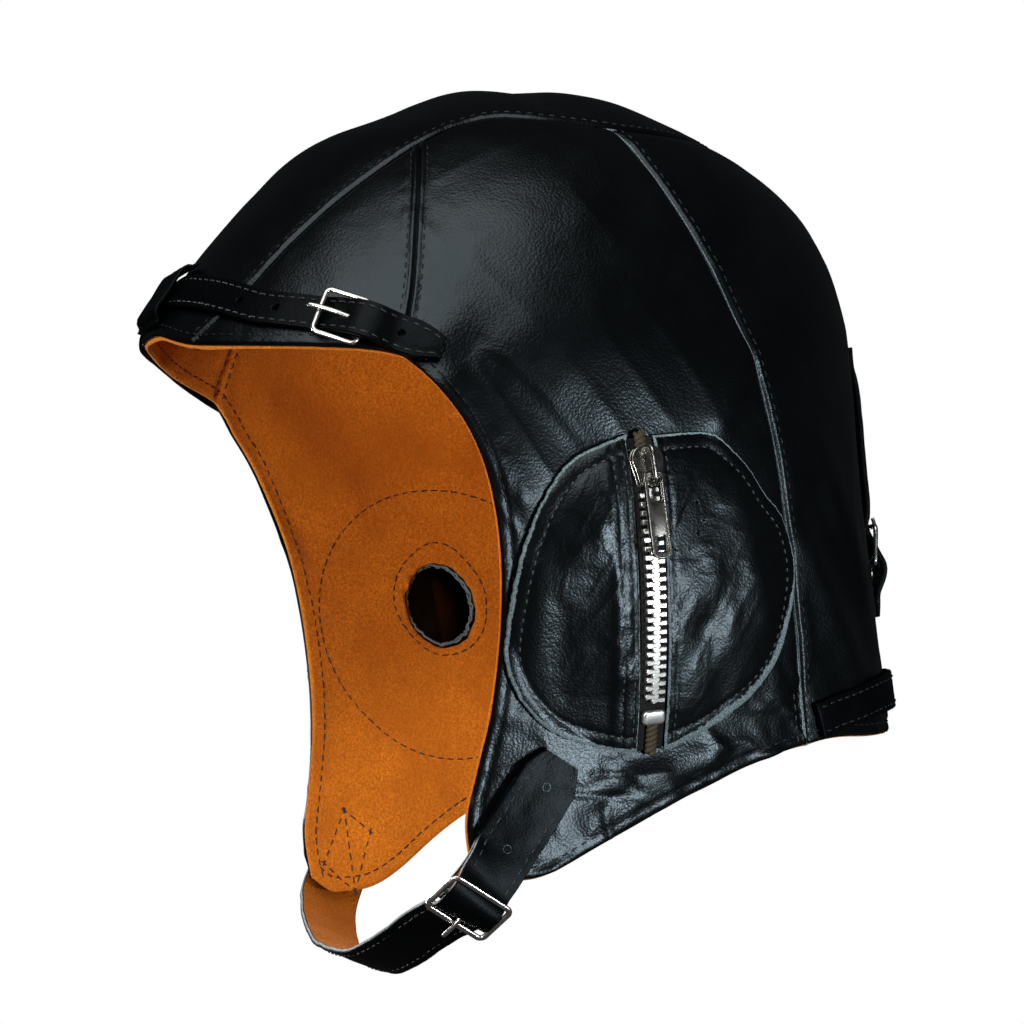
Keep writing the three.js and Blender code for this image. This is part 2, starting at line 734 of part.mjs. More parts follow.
const tapeThick = 0.6;
const tapeClear = 0.35;
const tapeTop = layerGap + tapeThick;
const toothDepth = 1.6;
const sliderLength = 10.5;
const sliderWidth = 9.4;
const sliderThick = 2.6;
const sliderShare = 0.095;
const stopShare = 0.885;
const stopLength = 3.6;
const metalRest = 0.15;
const bridgeClear = 2.3;
const bridgeThick = 1.3;
const bridgeWidth = 2.1;
const bridgeReach = 4.6;
const pivotAlong = 2.7;
const pivotOut = 1.15;
const pullerThick = 1.2;
const pullerWidth = 5.8;
const pullerWindow = 3.5;
const pullerLength = 22.5;
const pullerRing = 7.2;

function zipRoute(side) {
  const spots = [];
  const stretches = 8;
  for (let step = 0; step <= stretches; step += 1) {
    const { y, z } = zipSpot(0.01 + (0.98 * step) / stretches, 0);
    const station = shellAt(placeOnSide(side, y, z));
    station.foot.addScaledVector(station.out, patchLift(y, z));
    spots.push(station);
  }
  return freeRoute(spots);
}

function addZip(sideName, side) {
  const route = zipRoute(side);
  const { length } = route;
  const tapeMiddle = [];
  const tapeStretches = 6;
  for (let step = 0; step <= tapeStretches; step += 1) {
    tapeMiddle.push([(length * step) / tapeStretches, layerGap + tapeThick / 2]);
  }
  const tapeWidth = zipSlotWidth - 2 * tapeClear;
  addPiece(`zip_tape_${sideName}`, strapOver(route, tapeMiddle, tapeWidth, tapeThick), tape());

  const slider = route.at(length * sliderShare);
  const sliderFloor = layerGap + patchThick + metalRest * 2;
  addPiece(`zip_slider_${sideName}`, sliderBody(slider, sliderFloor), nickel());
  const metalFloor = tapeTop + metalRest;
  const teethFrom = length * sliderShare + sliderLength / 2 + metalRest * 2;
  const teethTo = length * stopShare - stopLength / 2 - metalRest * 2;
  addPiece(`zip_teeth_${sideName}`, zipTeeth(route, teethFrom, teethTo, metalFloor), nickel());
  const stop = route.at(length * stopShare);
  const stopHalf = toothWidth / 2;
  addPiece(
    `zip_stop_${sideName}`,
    boxAt(stop, [-stopLength / 2, stopLength / 2], [-stopHalf, stopHalf], [metalFloor, metalFloor + toothDepth]),
    nickel(),
  );
  addPiece(`zip_puller_${sideName}`, pullerBody(pullerStation(slider, sliderFloor)), nickel());
}

// The chain is one toothed bar: it steps out to the teeth's width and back along its run
function zipTeeth(route, from, to, floor) {
  const count = Math.floor((to - from) / toothPitch);
  const beadHalf = 0.9;
  const toothShare = 0.42;
  const rings = [];
  const addRing = (distance, half) => {
    const station = route.at(distance);
    rings.push([
      beside(station, 0, -half, floor),
      beside(station, 0, half, floor),
      beside(station, 0, half, floor + toothDepth),
      beside(station, 0, -half, floor + toothDepth),
    ]);
  };
  for (let step = 0; step < count; step += 1) {
    const start = from + ((to - from) * step) / count;
    const end = start + ((to - from) * toothShare) / count;
    if (step > 0) addRing(start, beadHalf);
    addRing(start, toothWidth / 2);
    addRing(end, toothWidth / 2);
    if (step < count - 1) addRing(end, beadHalf);
  }
  return throughRings(rings);
}

function sliderBody(station, floor) {
  const half = sliderLength / 2;
  const wide = sliderWidth / 2;
  const narrow = wide * 0.78;
  const outline = new THREE.Shape();
  outline.moveTo(half, narrow);
  outline.lineTo(-half * 0.3, wide);
  outline.quadraticCurveTo(-half, wide, -half, wide * 0.45);
  outline.lineTo(-half, -wide * 0.45);
  outline.quadraticCurveTo(-half, -wide, -half * 0.3, -wide);
  outline.lineTo(half, -narrow);
  const plate = plateAt(station, outline, floor, floor + sliderThick, true);
  const roof = floor + sliderThick;
  const bridgeHalf = bridgeWidth / 2;
  const beam = boxAt(
    station,
    [-bridgeReach - bridgeThick / 2, bridgeReach + bridgeThick / 2],
    [-bridgeHalf, bridgeHalf],
    [roof + bridgeClear, roof + bridgeClear + bridgeThick],
  );
  const post = (along) =>
    boxAt(
      station,
      [along - bridgeThick / 2, along + bridgeThick / 2],
      [-bridgeHalf, bridgeHalf],
      [roof - 0.5, roof + bridgeClear + bridgeThick / 2],
    );
  return join(plate, beam, post(-bridgeReach), post(bridgeReach));
}

// The puller hangs plumb from its pivot under the slider's bridge
function pullerStation(slider, floor) {
  const foot = beside(slider, pivotAlong, 0, floor + sliderThick + pivotOut);
  const along = new THREE.Vector3(0, 0, -1);
  along.addScaledVector(slider.across, -along.dot(slider.across)).normalize();
  return { foot, along, across: slider.across.clone(), out: slider.across.clone().cross(along) };
}

function pullerBody(station) {
  const bar = 0.65;
  const half = pullerWidth / 2;
  const windowHalf = pullerWindow / 2;
  const shape = new THREE.Shape();
  shape.moveTo(-bar, -half * 0.8);
  shape.lineTo(-bar, half * 0.8);
  shape.quadraticCurveTo(-bar + 0.2, half, 0.8, half);
  shape.lineTo(pullerLength - 1.6, half);
  shape.quadraticCurveTo(pullerLength, half, pullerLength, 0);
  shape.quadraticCurveTo(pullerLength, -half, pullerLength - 1.6, -half);
  shape.lineTo(0.8, -half);
  shape.quadraticCurveTo(-bar + 0.2, -half, -bar, -half * 0.8);
  const plate = plateAt(station, shape, -pullerThick / 2, pullerThick / 2, true);
  const window = (from, to) => boxAt(station, [from, to], [-windowHalf, windowHalf], [-pullerThick, pullerThick]);
  return cut(plate, window(bar, pullerRing), window(pullerLength - 6.2, pullerLength - 1.9));
}

// Buckles. Heights are over the route's foot line.

const wireRadius = 0.65;
const wrapRadius = wireRadius + layerGap + holderThick / 2;
const prongWidth = 1.5;

// A buckle hangs on a holder strap that wraps its bar. The strap comes in under the near bar, over the
// wrapped bar and, on a centre-bar frame, under the far bar too.
function buckleHeights(floor) {
  const holderLow = floor + strapRest + holderThick / 2;
  const bar = holderLow + wrapRadius;
  const over = bar + wrapRadius + holderThick / 2 + layerGap + strapThick / 2 + 0.15;
  const rest = floor + strapRest + strapThick / 2 + 0.3;
  const nearBar = rest + strapThick / 2 + layerGap + wireRadius + 0.7;
  const tail = floor + strapRest + holderThick + layerGap + strapThick / 2;
  const farBar = tail + strapThick / 2 + layerGap + wireRadius + 0.5;
  return { holderLow, bar, over, rest, nearBar, tail, farBar };
}

function roundedFrame(near, far, half, nearHeight, farHeight, corner) {
  const points = [];
  const cornerSteps = 3;
  const addCorner = (along, across, start) => {
    for (let step = 0; step <= cornerSteps; step += 1) {
      const angle = start + ((Math.PI / 2) * step) / cornerSteps;
      const x = along + corner * Math.cos(angle);
      const share = (x - near) / (far - near);
      points.push([x, across + corner * Math.sin(angle), THREE.MathUtils.lerp(nearHeight, farHeight, share)]);
    }
  };
  addCorner(far - corner, half - corner, 0);
  addCorner(near + corner, half - corner, Math.PI / 2);
  addCorner(near + corner, -half + corner, Math.PI);
  addCorner(far - corner, -half + corner, (3 * Math.PI) / 2);
  return points;
}

function buckleFrame(station, spec) {
  const heights = buckleHeights(spec.floor);
  const half = spec.width / 2 + 0.5 + wireRadius;
  const ends = spec.centreBar ? [heights.nearBar, heights.farBar] : [heights.nearBar, heights.bar];
  const loop = roundedFrame(-spec.nearReach, spec.farReach, half, ends[0], ends[1], 1.6);
  const frame = wireThrough(station, loop, wireRadius, true);
  if (!spec.centreBar) return frame;
  const middle = THREE.MathUtils.lerp(ends[0], ends[1], spec.nearReach / (spec.nearReach + spec.farReach));
  const bar = [[0, -half, middle], [0, -half + 0.9, heights.bar], [0, half - 0.9, heights.bar], [0, half, middle]];
  return join(frame, wireThrough(station, bar, wireRadius, false, station.along));
}

// The prong's eye goes round the bar and its tip lies on the near bar. grow makes the cutter for its slots.
function buckleProng(station, spec, grow = 0) {
  const { bar, nearBar } = buckleHeights(spec.floor);
  const eye = wireRadius + layerGap + 0.7 + grow;
  const thick = 0.55 + grow;
  const tipOut = nearBar + wireRadius + layerGap + 0.55;
  const tip = -spec.nearReach - spec.prongPast;
  const rise = Math.atan2(tipOut - bar, spec.nearReach);
  const shape = new THREE.Shape();
  const towardsTip = Math.PI - rise;
  const neck = Math.asin(thick / eye);
  shape.absarc(0, bar, eye, towardsTip + neck, towardsTip - neck + 2 * Math.PI, false);
  shape.lineTo(-spec.nearReach, tipOut + thick);
  shape.lineTo(tip, tipOut + thick);
  shape.lineTo(tip, tipOut - thick);
  shape.lineTo(-spec.nearReach, tipOut - thick);
  shape.closePath();
  if (grow === 0) {
    const hole = new THREE.Path();
    hole.absarc(0, bar, wireRadius + layerGap, 0, 2 * Math.PI, true);
    shape.holes.push(hole);
  }
  const halfWide = prongWidth / 2 + grow;
  return plateAt(station, shape, -halfWide, halfWide, false);
}

// Middle line of a holder strap: from its sewn end, under the bar, round it and back above
function holderMiddle(at, spec) {
  const { holderLow, bar } = buckleHeights(spec.floor);
  const points = [[at + spec.holderLength, holderLow], [at + spec.holderLength * 0.5, holderLow], [at + 2.4, holderLow]];
  for (const degrees of [-90, -135, -180, -225, -270]) {
    const angle = THREE.MathUtils.degToRad(degrees);
    points.push([at + wrapRadius * Math.cos(angle), bar + wrapRadius * Math.sin(angle)]);
  }
  points.push([at + 0.8, bar + wrapRadius - 0.02]);
  return points;
}

function strapPieces(route, at, spec, middle, taper) {
  const station = route.at(at);
  const slot = buckleProng(station, spec, 0.35);
  const strap = cut(strapOver(route, middle, pointedTip(spec.width, taper, route), strapThick), slot);
  const holder = cut(strapOver(route, holderMiddle(at, spec), spec.width, holderThick), slot);
  return { strap, holder, frame: buckleFrame(station, spec), prong: buckleProng(station, spec) };
}

function addBuckledStrap(name, pieces) {
  addPiece(`${name}_strap`, pieces.strap, leather());
  addPiece(`${name}_holder_strap`, pieces.holder, leather());
  addPiece(`${name}_buckle_frame`, pieces.frame, nickel());
  addPiece(`${name}_buckle_prong`, pieces.prong, nickel());
}

// Narrows a strap to its tip over the last stretch of its route
const pointedTip = (width, taper, route) => (distance) => {
  const left = Math.max(route.length - distance, 0) / taper;
  return left < 1 ? width * (0.35 + 0.65 * Math.sqrt(left)) : width;
};

// Brow strap, buckled on the wearer's left

// Turn, and drop as a share of shellDrop
const browLine = [
  [-56, 0.3586], [-49, 0.3423], [-40, 0.3234], [-27, 0.305], [-19.5, 0.2923], [-8, 0.2712], [0, 0.2658], [8, 0.2721],
  [19.5, 0.2923], [27, 0.305], [40, 0.3234], [49, 0.3423], [56, 0.3586],
];

function addBrowStrap() {
  const route = shellRoute(browLine.map(placeAtDrop), 120);
  const spec = { floor: 0, width: browWidth, nearReach: 12.2, farReach: 0, prongPast: 3, holderLength: 17 };
  const at = route.length - 22.5;
  const { over, rest, tail } = buckleHeights(0);
  const low = strapRest + strapThick / 2;
  const middle = [
    [0.6, low], [route.length * 0.12, low], [route.length * 0.3, low], [route.length * 0.5, low],
    [route.length * 0.66, low], [at - 16, low], [at - 12.2, rest], [at - 5, (rest + over) / 2 + 0.4],
    [at, over], [at + 4, over - 0.5], [at + 9, tail + 0.4], [at + 14, tail], [route.length - 4, tail], [route.length - 0.5, tail],
  ];
  addBuckledStrap("brow", strapPieces(route, at, spec, middle, 8));
}

function addBrowLoop() {
  const loopTurn = -6;
  const drops = [0.2297, 0.2477, 0.268, 0.2883, 0.3077];
  const route = shellRoute(drops.map((drop) => placeAtDrop([loopTurn, drop])), 30);
  const low = strapRest + 0.5;
  const high = strapRest + strapThick + layerGap + 1;
  const middle = [
    [0.2, low], [1.6, low + 0.4], [3.4, high], [route.length / 2, high + 0.1], [route.length - 3.4, high],
    [route.length - 1.6, low + 0.4], [route.length - 0.2, low],
  ];
  addPiece("brow_loop", strapOver(route, middle, 22, 1), leather());
}

// Chin strap: sewn outside the right flap, hanging in a loop to the buckle below the left flap

// The hanging loop's foot line and the middle that it turns its inner face to: shares of half shellWidth
// leftward, of shellFront rearward and of shellDrop down
const chinLoop = [
  [-0.7265, -0.2343, 0.9887], [-0.6399, -0.2667, 1.0113], [-0.5144, -0.301, 1.0333], [-0.3388, -0.3371, 1.0554], [-0.138, -0.36, 1.0712],
  [0.0627, -0.3676, 1.0748], [0.2384, -0.3638, 1.0631], [0.389, -0.3581, 1.0468], [0.5207, -0.3505, 1.0329], [0.6274, -0.339, 1.0225],
  [0.6964, -0.3219, 1.0081], [0.7227, -0.2876, 0.9856],
];
const chinMiddle = [0, -0.2286, 0.8829];

function addChinStrap() {
  const onFlap = (side, rearward, down) => shellAt(placeOnSide(side, rearward * shellFront, -down * shellDrop));
  const inSpace = ([leftward, rearward, down]) =>
    new THREE.Vector3((leftward * shellWidth) / 2, rearward * shellFront, -down * shellDrop);
  const hanging = (point) => {
    const foot = inSpace(point);
    return { foot, out: foot.clone().sub(inSpace(chinMiddle)).normalize() };
  };
  const stations = [
    onFlap(-1, -0.1476, 0.8784),
    onFlap(-1, -0.1857, 0.9347),
    ...chinLoop.map(hanging),
    onFlap(1, -0.2362, 0.9527),
    onFlap(1, -0.181, 0.9099),
    onFlap(1, -0.1333, 0.8716),
    onFlap(1, -0.0886, 0.8347),
  ];
  const route = freeRoute(stations, 140);
  const spec = {
    floor: 0, width: chinWidth, nearReach: 6.1, farReach: 6.4, centreBar: true, prongPast: 4.5, holderLength: 35,
  };
  const at = route.length - 47;
  const { over, rest, tail } = buckleHeights(0);
  const low = strapRest + strapThick / 2;
  const middle = [
    [0.6, low], [14, low], [30, low], [55, low], [80, low], [at - 22, low], [at - 11, low], [at - 5.5, rest],
    [at - 3, over - 1.5], [at - 1.2, over - 0.05], [at + 1.4, over + 0.1], [at + 3.2, over - 1],
    [at + 6.3, tail + 0.15], [at + 12, tail],
    [at + 25, tail], [route.length - 5, tail], [route.length - 0.5, tail],
  ];
  addBuckledStrap("chin", strapPieces(route, at, spec, middle, 8));
}

// Goggle strap down the back centre and nape strap across it

const goggleTurn = 171;

function addGoggleStrap() {
  const drops = [0.2973, 0.3604, 0.4279, 0.4955, 0.5405, 0.5856, 0.6441];
  const route = shellRoute(drops.map((drop) => placeAtDrop([goggleTurn, drop])), 60);
  const spec = { floor: 0, width: goggleWidth, nearReach: 11, farReach: 0, prongPast: 2.5, holderLength: 14 };
  const at = route.length - 15;
  const { over, rest, tail } = buckleHeights(0);
  const low = strapRest + strapThick / 2;
  const middle = [
    [0.5, low], [6, low], [14, low + 1.2], [at - 24, low + 1.8], [at - 15, low + 1.2], [at - 11, rest],
    [at - 4.5, (rest + over) / 2 + 0.4], [at, over], [at + 3.5, over - 0.6], [at + 8, tail + 0.3],
    [route.length - 3, tail], [route.length - 0.5, tail],
  ];
  addBuckledStrap("goggle", strapPieces(route, at, spec, middle, 5));
}

const napeLineAt = [[141.5, 0.786], [150, 0.7613], [160, 0.741], [170, 0.7297]];

function addNapeStrap() {
  const half = napeLineAt.map(placeAtDrop);
  const route = shellRoute([...half, placeAtDrop([180, 0.7275]), ...half.slice().reverse().map(mirrorSpot)], 80);
  const low = strapRest + strapThick / 2;
  const middle = [
    [0.5, low + 0.1], [route.length * 0.15, low + 0.3], [route.length * 0.32, low + 0.7],
    [route.length / 2, low + 0.9], [route.length * 0.68, low + 0.7], [route.length * 0.85, low + 0.3],
    [route.length - 0.5, low + 0.1],
  ];
  addPiece("nape_strap", strapOver(route, middle, napeWidth, strapThick), leather());
}

addPanels();
for (const [sideName, side] of [["left", 1], ["right", -1]]) {
  addEarPatch(sideName, side);
  addZip(sideName, side);
}
addBrowStrap();
addBrowLoop();
addChinStrap();
addGoggleStrap();
addNapeStrap();

export default helmet;
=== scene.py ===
# Leather flying helmet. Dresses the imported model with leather, suede, stitching, zips and buckles.
# Lengths are in millimetres until a mesh is made.
import json
import math

import bmesh
import bpy
import numpy as np
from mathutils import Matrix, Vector
from mathutils.kdtree import KDTree

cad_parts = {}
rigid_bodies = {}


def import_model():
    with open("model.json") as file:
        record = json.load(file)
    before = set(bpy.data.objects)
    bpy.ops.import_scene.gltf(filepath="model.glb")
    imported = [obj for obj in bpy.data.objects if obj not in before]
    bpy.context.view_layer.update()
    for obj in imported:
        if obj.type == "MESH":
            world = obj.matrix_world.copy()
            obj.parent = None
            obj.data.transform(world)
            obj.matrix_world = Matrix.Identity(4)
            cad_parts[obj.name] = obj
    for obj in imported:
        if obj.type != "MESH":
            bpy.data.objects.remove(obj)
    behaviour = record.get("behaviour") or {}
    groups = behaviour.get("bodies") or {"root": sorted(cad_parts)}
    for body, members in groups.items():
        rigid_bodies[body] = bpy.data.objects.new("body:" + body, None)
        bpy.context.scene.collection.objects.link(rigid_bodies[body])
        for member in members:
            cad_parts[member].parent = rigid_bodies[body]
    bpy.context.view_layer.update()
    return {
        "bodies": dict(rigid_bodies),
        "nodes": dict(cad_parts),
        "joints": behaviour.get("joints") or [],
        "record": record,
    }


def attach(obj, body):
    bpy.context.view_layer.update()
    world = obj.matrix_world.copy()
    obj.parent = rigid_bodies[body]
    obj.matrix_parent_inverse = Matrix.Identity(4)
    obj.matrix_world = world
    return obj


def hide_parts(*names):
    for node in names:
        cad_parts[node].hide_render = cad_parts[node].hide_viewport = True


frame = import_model()
mm = 0.001
print("frame loaded")

# Camera

photoView = {"azimuth": 65, "elevation": -5, "away": 1800, "target": (1.86, 3.99, -115), "lens": 227.8}


# A new object in the scene
def placed(name, data):
    made = bpy.data.objects.new(name, data)
    bpy.context.collection.objects.link(made)
    return made


# Puts a camera or light at a distance from the photo's target and turns it there
def faceTarget(thing, azimuth, elevation, away):
    turn, tilt = math.radians(azimuth), math.radians(elevation)
    back = Vector((math.sin(turn) * math.cos(tilt), -math.cos(turn) * math.cos(tilt), math.sin(tilt)))
    thing.location = (Vector(photoView["target"]) + back * away) * mm
    thing.rotation_mode = "QUATERNION"
    thing.rotation_quaternion = (-back).to_track_quat("-Z", "Y")


def addCamera():
    camera = placed("camera", bpy.data.cameras.new("camera"))
    camera.data.lens = photoView["lens"]
    camera.data.clip_end = 50
    faceTarget(camera, photoView["azimuth"], photoView["elevation"], photoView["away"])
    bpy.context.scene.camera = camera


addCamera()

# The shell that the panels lie on: the same sections and seams as the solids

shell = {
    "width": 159.4,
    "front": 105,
    "back": 107.5,
    "drop": 222,
    "leather": 1.4,
    "gap": 0.3,
    "lining": 1.0,
    "seamInset": 0.04,
}
crownTop = shell["leather"] + shell["gap"] + shell["lining"]
# drop, half width, front, back as shares, and the section's exponent
sections = np.array([
    (0, 0, 0, 0, 2),
    (0.01, 0.226, 0.162, 0.242, 2),
    (0.038, 0.445, 0.314, 0.437, 2),
    (0.081, 0.627, 0.514, 0.633, 2),
    (0.14, 0.772, 0.657, 0.8, 2),
    (0.212, 0.885, 0.795, 0.902, 2),
    (0.291, 0.96, 0.914, 0.946, 2),
    (0.378, 1, 1.018, 0.96, 2.05),
    (0.482, 0.985, 0.981, 0.972, 2.15),
    (0.586, 0.928, 0.905, 0.996, 2.3),
    (0.685, 0.866, 0.819, 1.02, 2.5),
    (0.788, 0.803, 0.762, 1.058, 2.6),
    (0.892, 0.753, 0.743, 1.107, 2.6),
    (1, 0.721, 0.743, 1.144, 2.6),
])
sectionScale = np.array([shell["drop"], shell["width"] / 2, shell["front"], shell["back"], 1])

# Seams and edges of the left half: turn in degrees from the front centre, row down the sections
bandSeam = [
    (12, 6.7), (18.5, 5.86), (24.5, 4.96), (34, 3.95), (43, 3.25), (52, 2.75), (64, 2.5), (84, 2.58),
    (107.5, 2.72), (127, 2.73), (146, 2.7), (164, 2.83), (180, 2.95),
]
bandTempleEnd = 4
bandSideEnd = 8
templeSeam = [(43, 3.25), (47, 4.2), (48.8, 5.1), (49.6, 6.05), (49, 6.98)]
browEdge = [(0, 6.55), (12, 6.7), (24, 6.78), (36, 6.84), (49, 6.98)]
cheekEdge = [
    (49, 6.98), (55, 7.36), (60.5, 7.85), (64, 8.42), (66, 9.08), (66.5, 9.8), (65.8, 10.5), (64, 11.18),
    (61, 11.8), (58.6, 12.35), (59.6, 12.84),
]
flapEdge = [
    (59.6, 12.84), (66, 13), (76, 12.96), (86, 12.78), (97, 12.52), (108, 12.25), (120, 11.94), (131, 11.62),
    (141, 11.38),
]
rearSeam = [
    (107.5, 2.72), (109.5, 3.7), (112, 4.65), (115.5, 5.6), (120, 6.6), (125.5, 7.65), (130.5, 8.7),
    (134.5, 9.75), (138.3, 10.7), (141, 11.38),
]
napeEdge = [(141, 11.38), (153, 11.22), (162.5, 11.13), (171, 11.06), (180, 11.03)]
# turn and row of the middle, reach both ways, and rows that the worn edge sits higher
edgeLifts = [(-20, 6.6, 19, 1.2, 0.31), (-108, 12.2, 22, 1.4, 0.26)]
# Soft folds: ends as turn and row, half width and height
softFolds = [
    ((90, 0.2), (90, 1.9), 7, -1),
    ((176, 1.1), (128, 1.7), 13, 1),
    ((56, 7.35), (70, 8.6), 5, 1.1),
    ((62, 6.9), (80, 8), 8, -1.6),
    ((119, 6.8), (112, 7.6), 6, 1.2),
    ((104, 11.8), (121, 11.55), 4.5, 1.3),
    ((92, 12.3), (112, 11.95), 5, 1),
    ((139, 7.9), (153, 9.3), 7, 1.2),
    ((139, 8.5), (152, 9.9), 7, -1.5),
    ((136, 9), (150, 10.45), 6, 1.3),
]


def spotAt(turn, row):
    angle = np.radians(turn)
    return np.stack([row * np.sin(angle), -row * np.cos(angle)], -1)


def spotsOf(table):
    table = np.asarray(table, float)
    return spotAt(table[:, 0], table[:, 1])


# Smooth line through points, at shares of its number of spans
def throughPoints(points, shares):
    points = np.asarray(points, float)
    last = len(points) - 1
    along = np.clip(np.asarray(shares, float), 0, 1) * last
    index = np.minimum(along.astype(int), last)
    t = (along - index)[..., None]
    a = points[np.maximum(index - 1, 0)]
    b = points[index]
    c = points[np.minimum(index + 1, last)]
    d = points[np.minimum(index + 2, last)]
    return 0.5 * (2 * b + (c - a) * t + (2 * a - 5 * b + 4 * c - d) * t**2 + (3 * b - a - 3 * c + d) * t**3)


def sectionAt(row):
    last = len(sections) - 1
    before = sections[1] * [1, -1, -1, -1, 1]
    after = 2 * sections[-1] - sections[-2]
    padded = np.vstack([before, sections, after])
    index = np.clip(np.floor(row).astype(int), 0, last - 1)
    t = (row - index)[..., None]
    a, b, c, d = padded[index], padded[index + 1], padded[index + 2], padded[index + 3]
    value = 0.5 * (2 * b + (c - a) * t + (2 * a - 5 * b + 4 * c - d) * t**2 + (d - a + 3 * (b - c)) * t**3)
    return value * sectionScale


def shellPoint(spots):
    row = np.maximum(np.hypot(spots[..., 0], spots[..., 1]), 1e-6)
    turn = np.arctan2(spots[..., 0], -spots[..., 1])
    section = sectionAt(row)
    drop, width, front, back, square = (section[..., k] for k in range(5))
    side = np.sin(turn)
    ahead = np.cos(turn)
    reach = np.where(ahead > 0, front, back)
    spread = np.abs(side / np.maximum(width, 1e-9)) ** square
    spread = spread + np.abs(ahead / np.maximum(reach, 1e-9)) ** square
    radius = spread ** (-1 / square)
    return np.stack([radius * side, -radius * ahead, crownTop - drop], -1)


# Falls from 1 at nought to nearly nothing at two
def bell(value):
    return np.exp(-(value**2))


# Falls from 1 to nothing as a number goes up through nought
def fading(value):
    return 1 / (1 + np.exp(value))


def unit(vectors):
    return vectors / np.maximum(np.linalg.norm(vectors, axis=-1, keepdims=True), 1e-12)


def shellSlopes(spots):
    step = 0.02
    across = (shellPoint(spots + [step, 0]) - shellPoint(spots - [step, 0])) / (2 * step)
    along = (shellPoint(spots + [0, step]) - shellPoint(spots - [0, step])) / (2 * step)
    return across, along


def shellNormal(spots):
    across, along = shellSlopes(spots)
    return unit(np.cross(across, along))


rowTable = np.linspace(0, 13.6, 2721)
heightTable = crownTop - sectionAt(rowTable)[:, 0]


def rowAtHeight(z):
    return np.interp(-np.asarray(z, float), -heightTable, rowTable)


def placeAtHeight(turn, z):
    return spotAt(turn, rowAtHeight(z))


def placeOnSide(side, y, z):
    row = rowAtHeight(z)
    low = np.zeros_like(row)
    high = np.full_like(row, 180.0)
    for _ in range(26):
        middle = (low + high) / 2
        short = shellPoint(spotAt(middle, row))[..., 1] < y
        low = np.where(short, middle, low)
        high = np.where(short, high, middle)
    return spotAt(side * (low + high) / 2, row)


def asWorn(spots):
    turn = np.degrees(np.arctan2(spots[..., 0], -spots[..., 1]))
    row = np.hypot(spots[..., 0], spots[..., 1])
    worn = row.copy()
    for middleTurn, middleRow, turnReach, rowReach, rows in edgeLifts:
        worn -= rows * np.exp(-(((turn - middleTurn) / turnReach) ** 2) - ((row - middleRow) / rowReach) ** 2)
    return spots * (np.maximum(worn, 1e-6) / np.maximum(row, 1e-6))[..., None]


# Moves a line of places sideways over the shell, to the left of its way for a positive distance
def offsetSpots(spots, distance):
    way = np.gradient(spots, axis=0)
    side = np.stack([-way[:, 1], way[:, 0]], -1)
    across, along = shellSlopes(spots)

    def lifted(step):
        return across * step[:, :1] + along * step[:, 1:]

    wayUp = lifted(way)
    sideUp = lifted(side)
    slip = (sideUp * wayUp).sum(1) / np.maximum((wayUp**2).sum(1), 1e-12)
    square = side - way * slip[:, None]
    return spots + square * (distance / np.linalg.norm(lifted(square), axis=1))[:, None]


def distanceTo(points, line):
    best = np.full(points.shape[:-1], np.inf)
    for start, end in zip(line[:-1], line[1:]):
        way = end - start
        share = np.clip(((points - start) @ way) / max(way @ way, 1e-9), 0, 1)
        best = np.minimum(best, ((points - start - share[..., None] * way) ** 2).sum(-1))
    return np.sqrt(best)


# Smooth noise from -1 to 1 on cells of a size; the same for the same seed
def noiseAt(points, size, seed):
    scaled = points / size + seed * 7.31
    cell = np.floor(scaled).astype(np.int64)
    part = scaled - cell
    part = part**3 * (part * (part * 6 - 15) + 10)
    total = np.zeros(points.shape[:-1])
    for corner in np.ndindex(2, 2, 2):
        at = cell + corner
        number = (at[..., 0] * 73856093) ^ (at[..., 1] * 19349663) ^ (at[..., 2] * 83492791)
        number = number ^ (seed * 2654435)
        number = ((number ^ (number >> 13)) * 1274126177) & 0x7FFFFFFF
        number = (number ^ (number >> 15)) & 0xFFFF
        share = np.prod(np.where(corner, part, 1 - part), axis=-1)
        total += share * (number / 32767.5 - 1)
    return total


# Sharp-topped creases from noise: 1 on a crease, falling away on both sides
def ridgesAt(points, size, seed):
    return (1 - np.abs(noiseAt(points, size, seed))) ** 4


def leftSide(points):
    return points * [-1, 1, 1] * (points[..., :1] < 0) + points * (points[..., :1] >= 0)


seamPaths = {
    "band": shellPoint(throughPoints(spotsOf(bandSeam), np.linspace(0, 1, 60))),
    "temple": shellPoint(throughPoints(spotsOf(templeSeam), np.linspace(0, 1, 24))),
    "rear": shellPoint(throughPoints(spotsOf(rearSeam), np.linspace(0, 1, 44))),
}
hemPath = shellPoint(np.vstack([
    throughPoints(spotsOf(table), np.linspace(0, 1, 50))
    for table in (browEdge, cheekEdge, flapEdge, napeEdge)
]))
foldPaths = [
    (np.array([shellPoint(spotAt(*start)), shellPoint(spotAt(*end))]), width, height)
    for start, end, width, height in softFolds
]


def foldHeight(points):
    leftward = leftSide(points)
    height = np.zeros(points.shape[:-1])
    for path, width, rise in foldPaths:
        height += rise * bell(distanceTo(leftward, path) / width)
    return height


# Routes, straps and wires


# Catmull-Rom line with run-on ends; even spans, or centripetal where even is false
def throughStations(points, steps, even):
    points = np.asarray(points, float)
    last = len(points) - 1
    padded = np.vstack([2 * points[0] - points[1], points, 2 * points[-1] - points[-2]])
    along = np.linspace(0, last, steps + 1)
    index = np.minimum(along.astype(int), last - 1)
    t = (along - index)[:, None]
    a, b, c, d = (padded[index + k] for k in range(4))
    if even:
        first, second = 0.5 * (c - a), 0.5 * (d - b)
    else:
        ab, bc, cd = (np.sqrt(np.linalg.norm(v, axis=1))[:, None] for v in (b - a, c - b, d - c))
        first = ((b - a) / ab - (c - a) / (ab + bc) + (c - b) / bc) * bc
        second = ((c - b) / bc - (d - b) / (bc + cd) + (d - c) / cd) * bc
    return b + first * t + (3 * (c - b) - 2 * first - second) * t**2 + (2 * (b - c) + first + second) * t**3


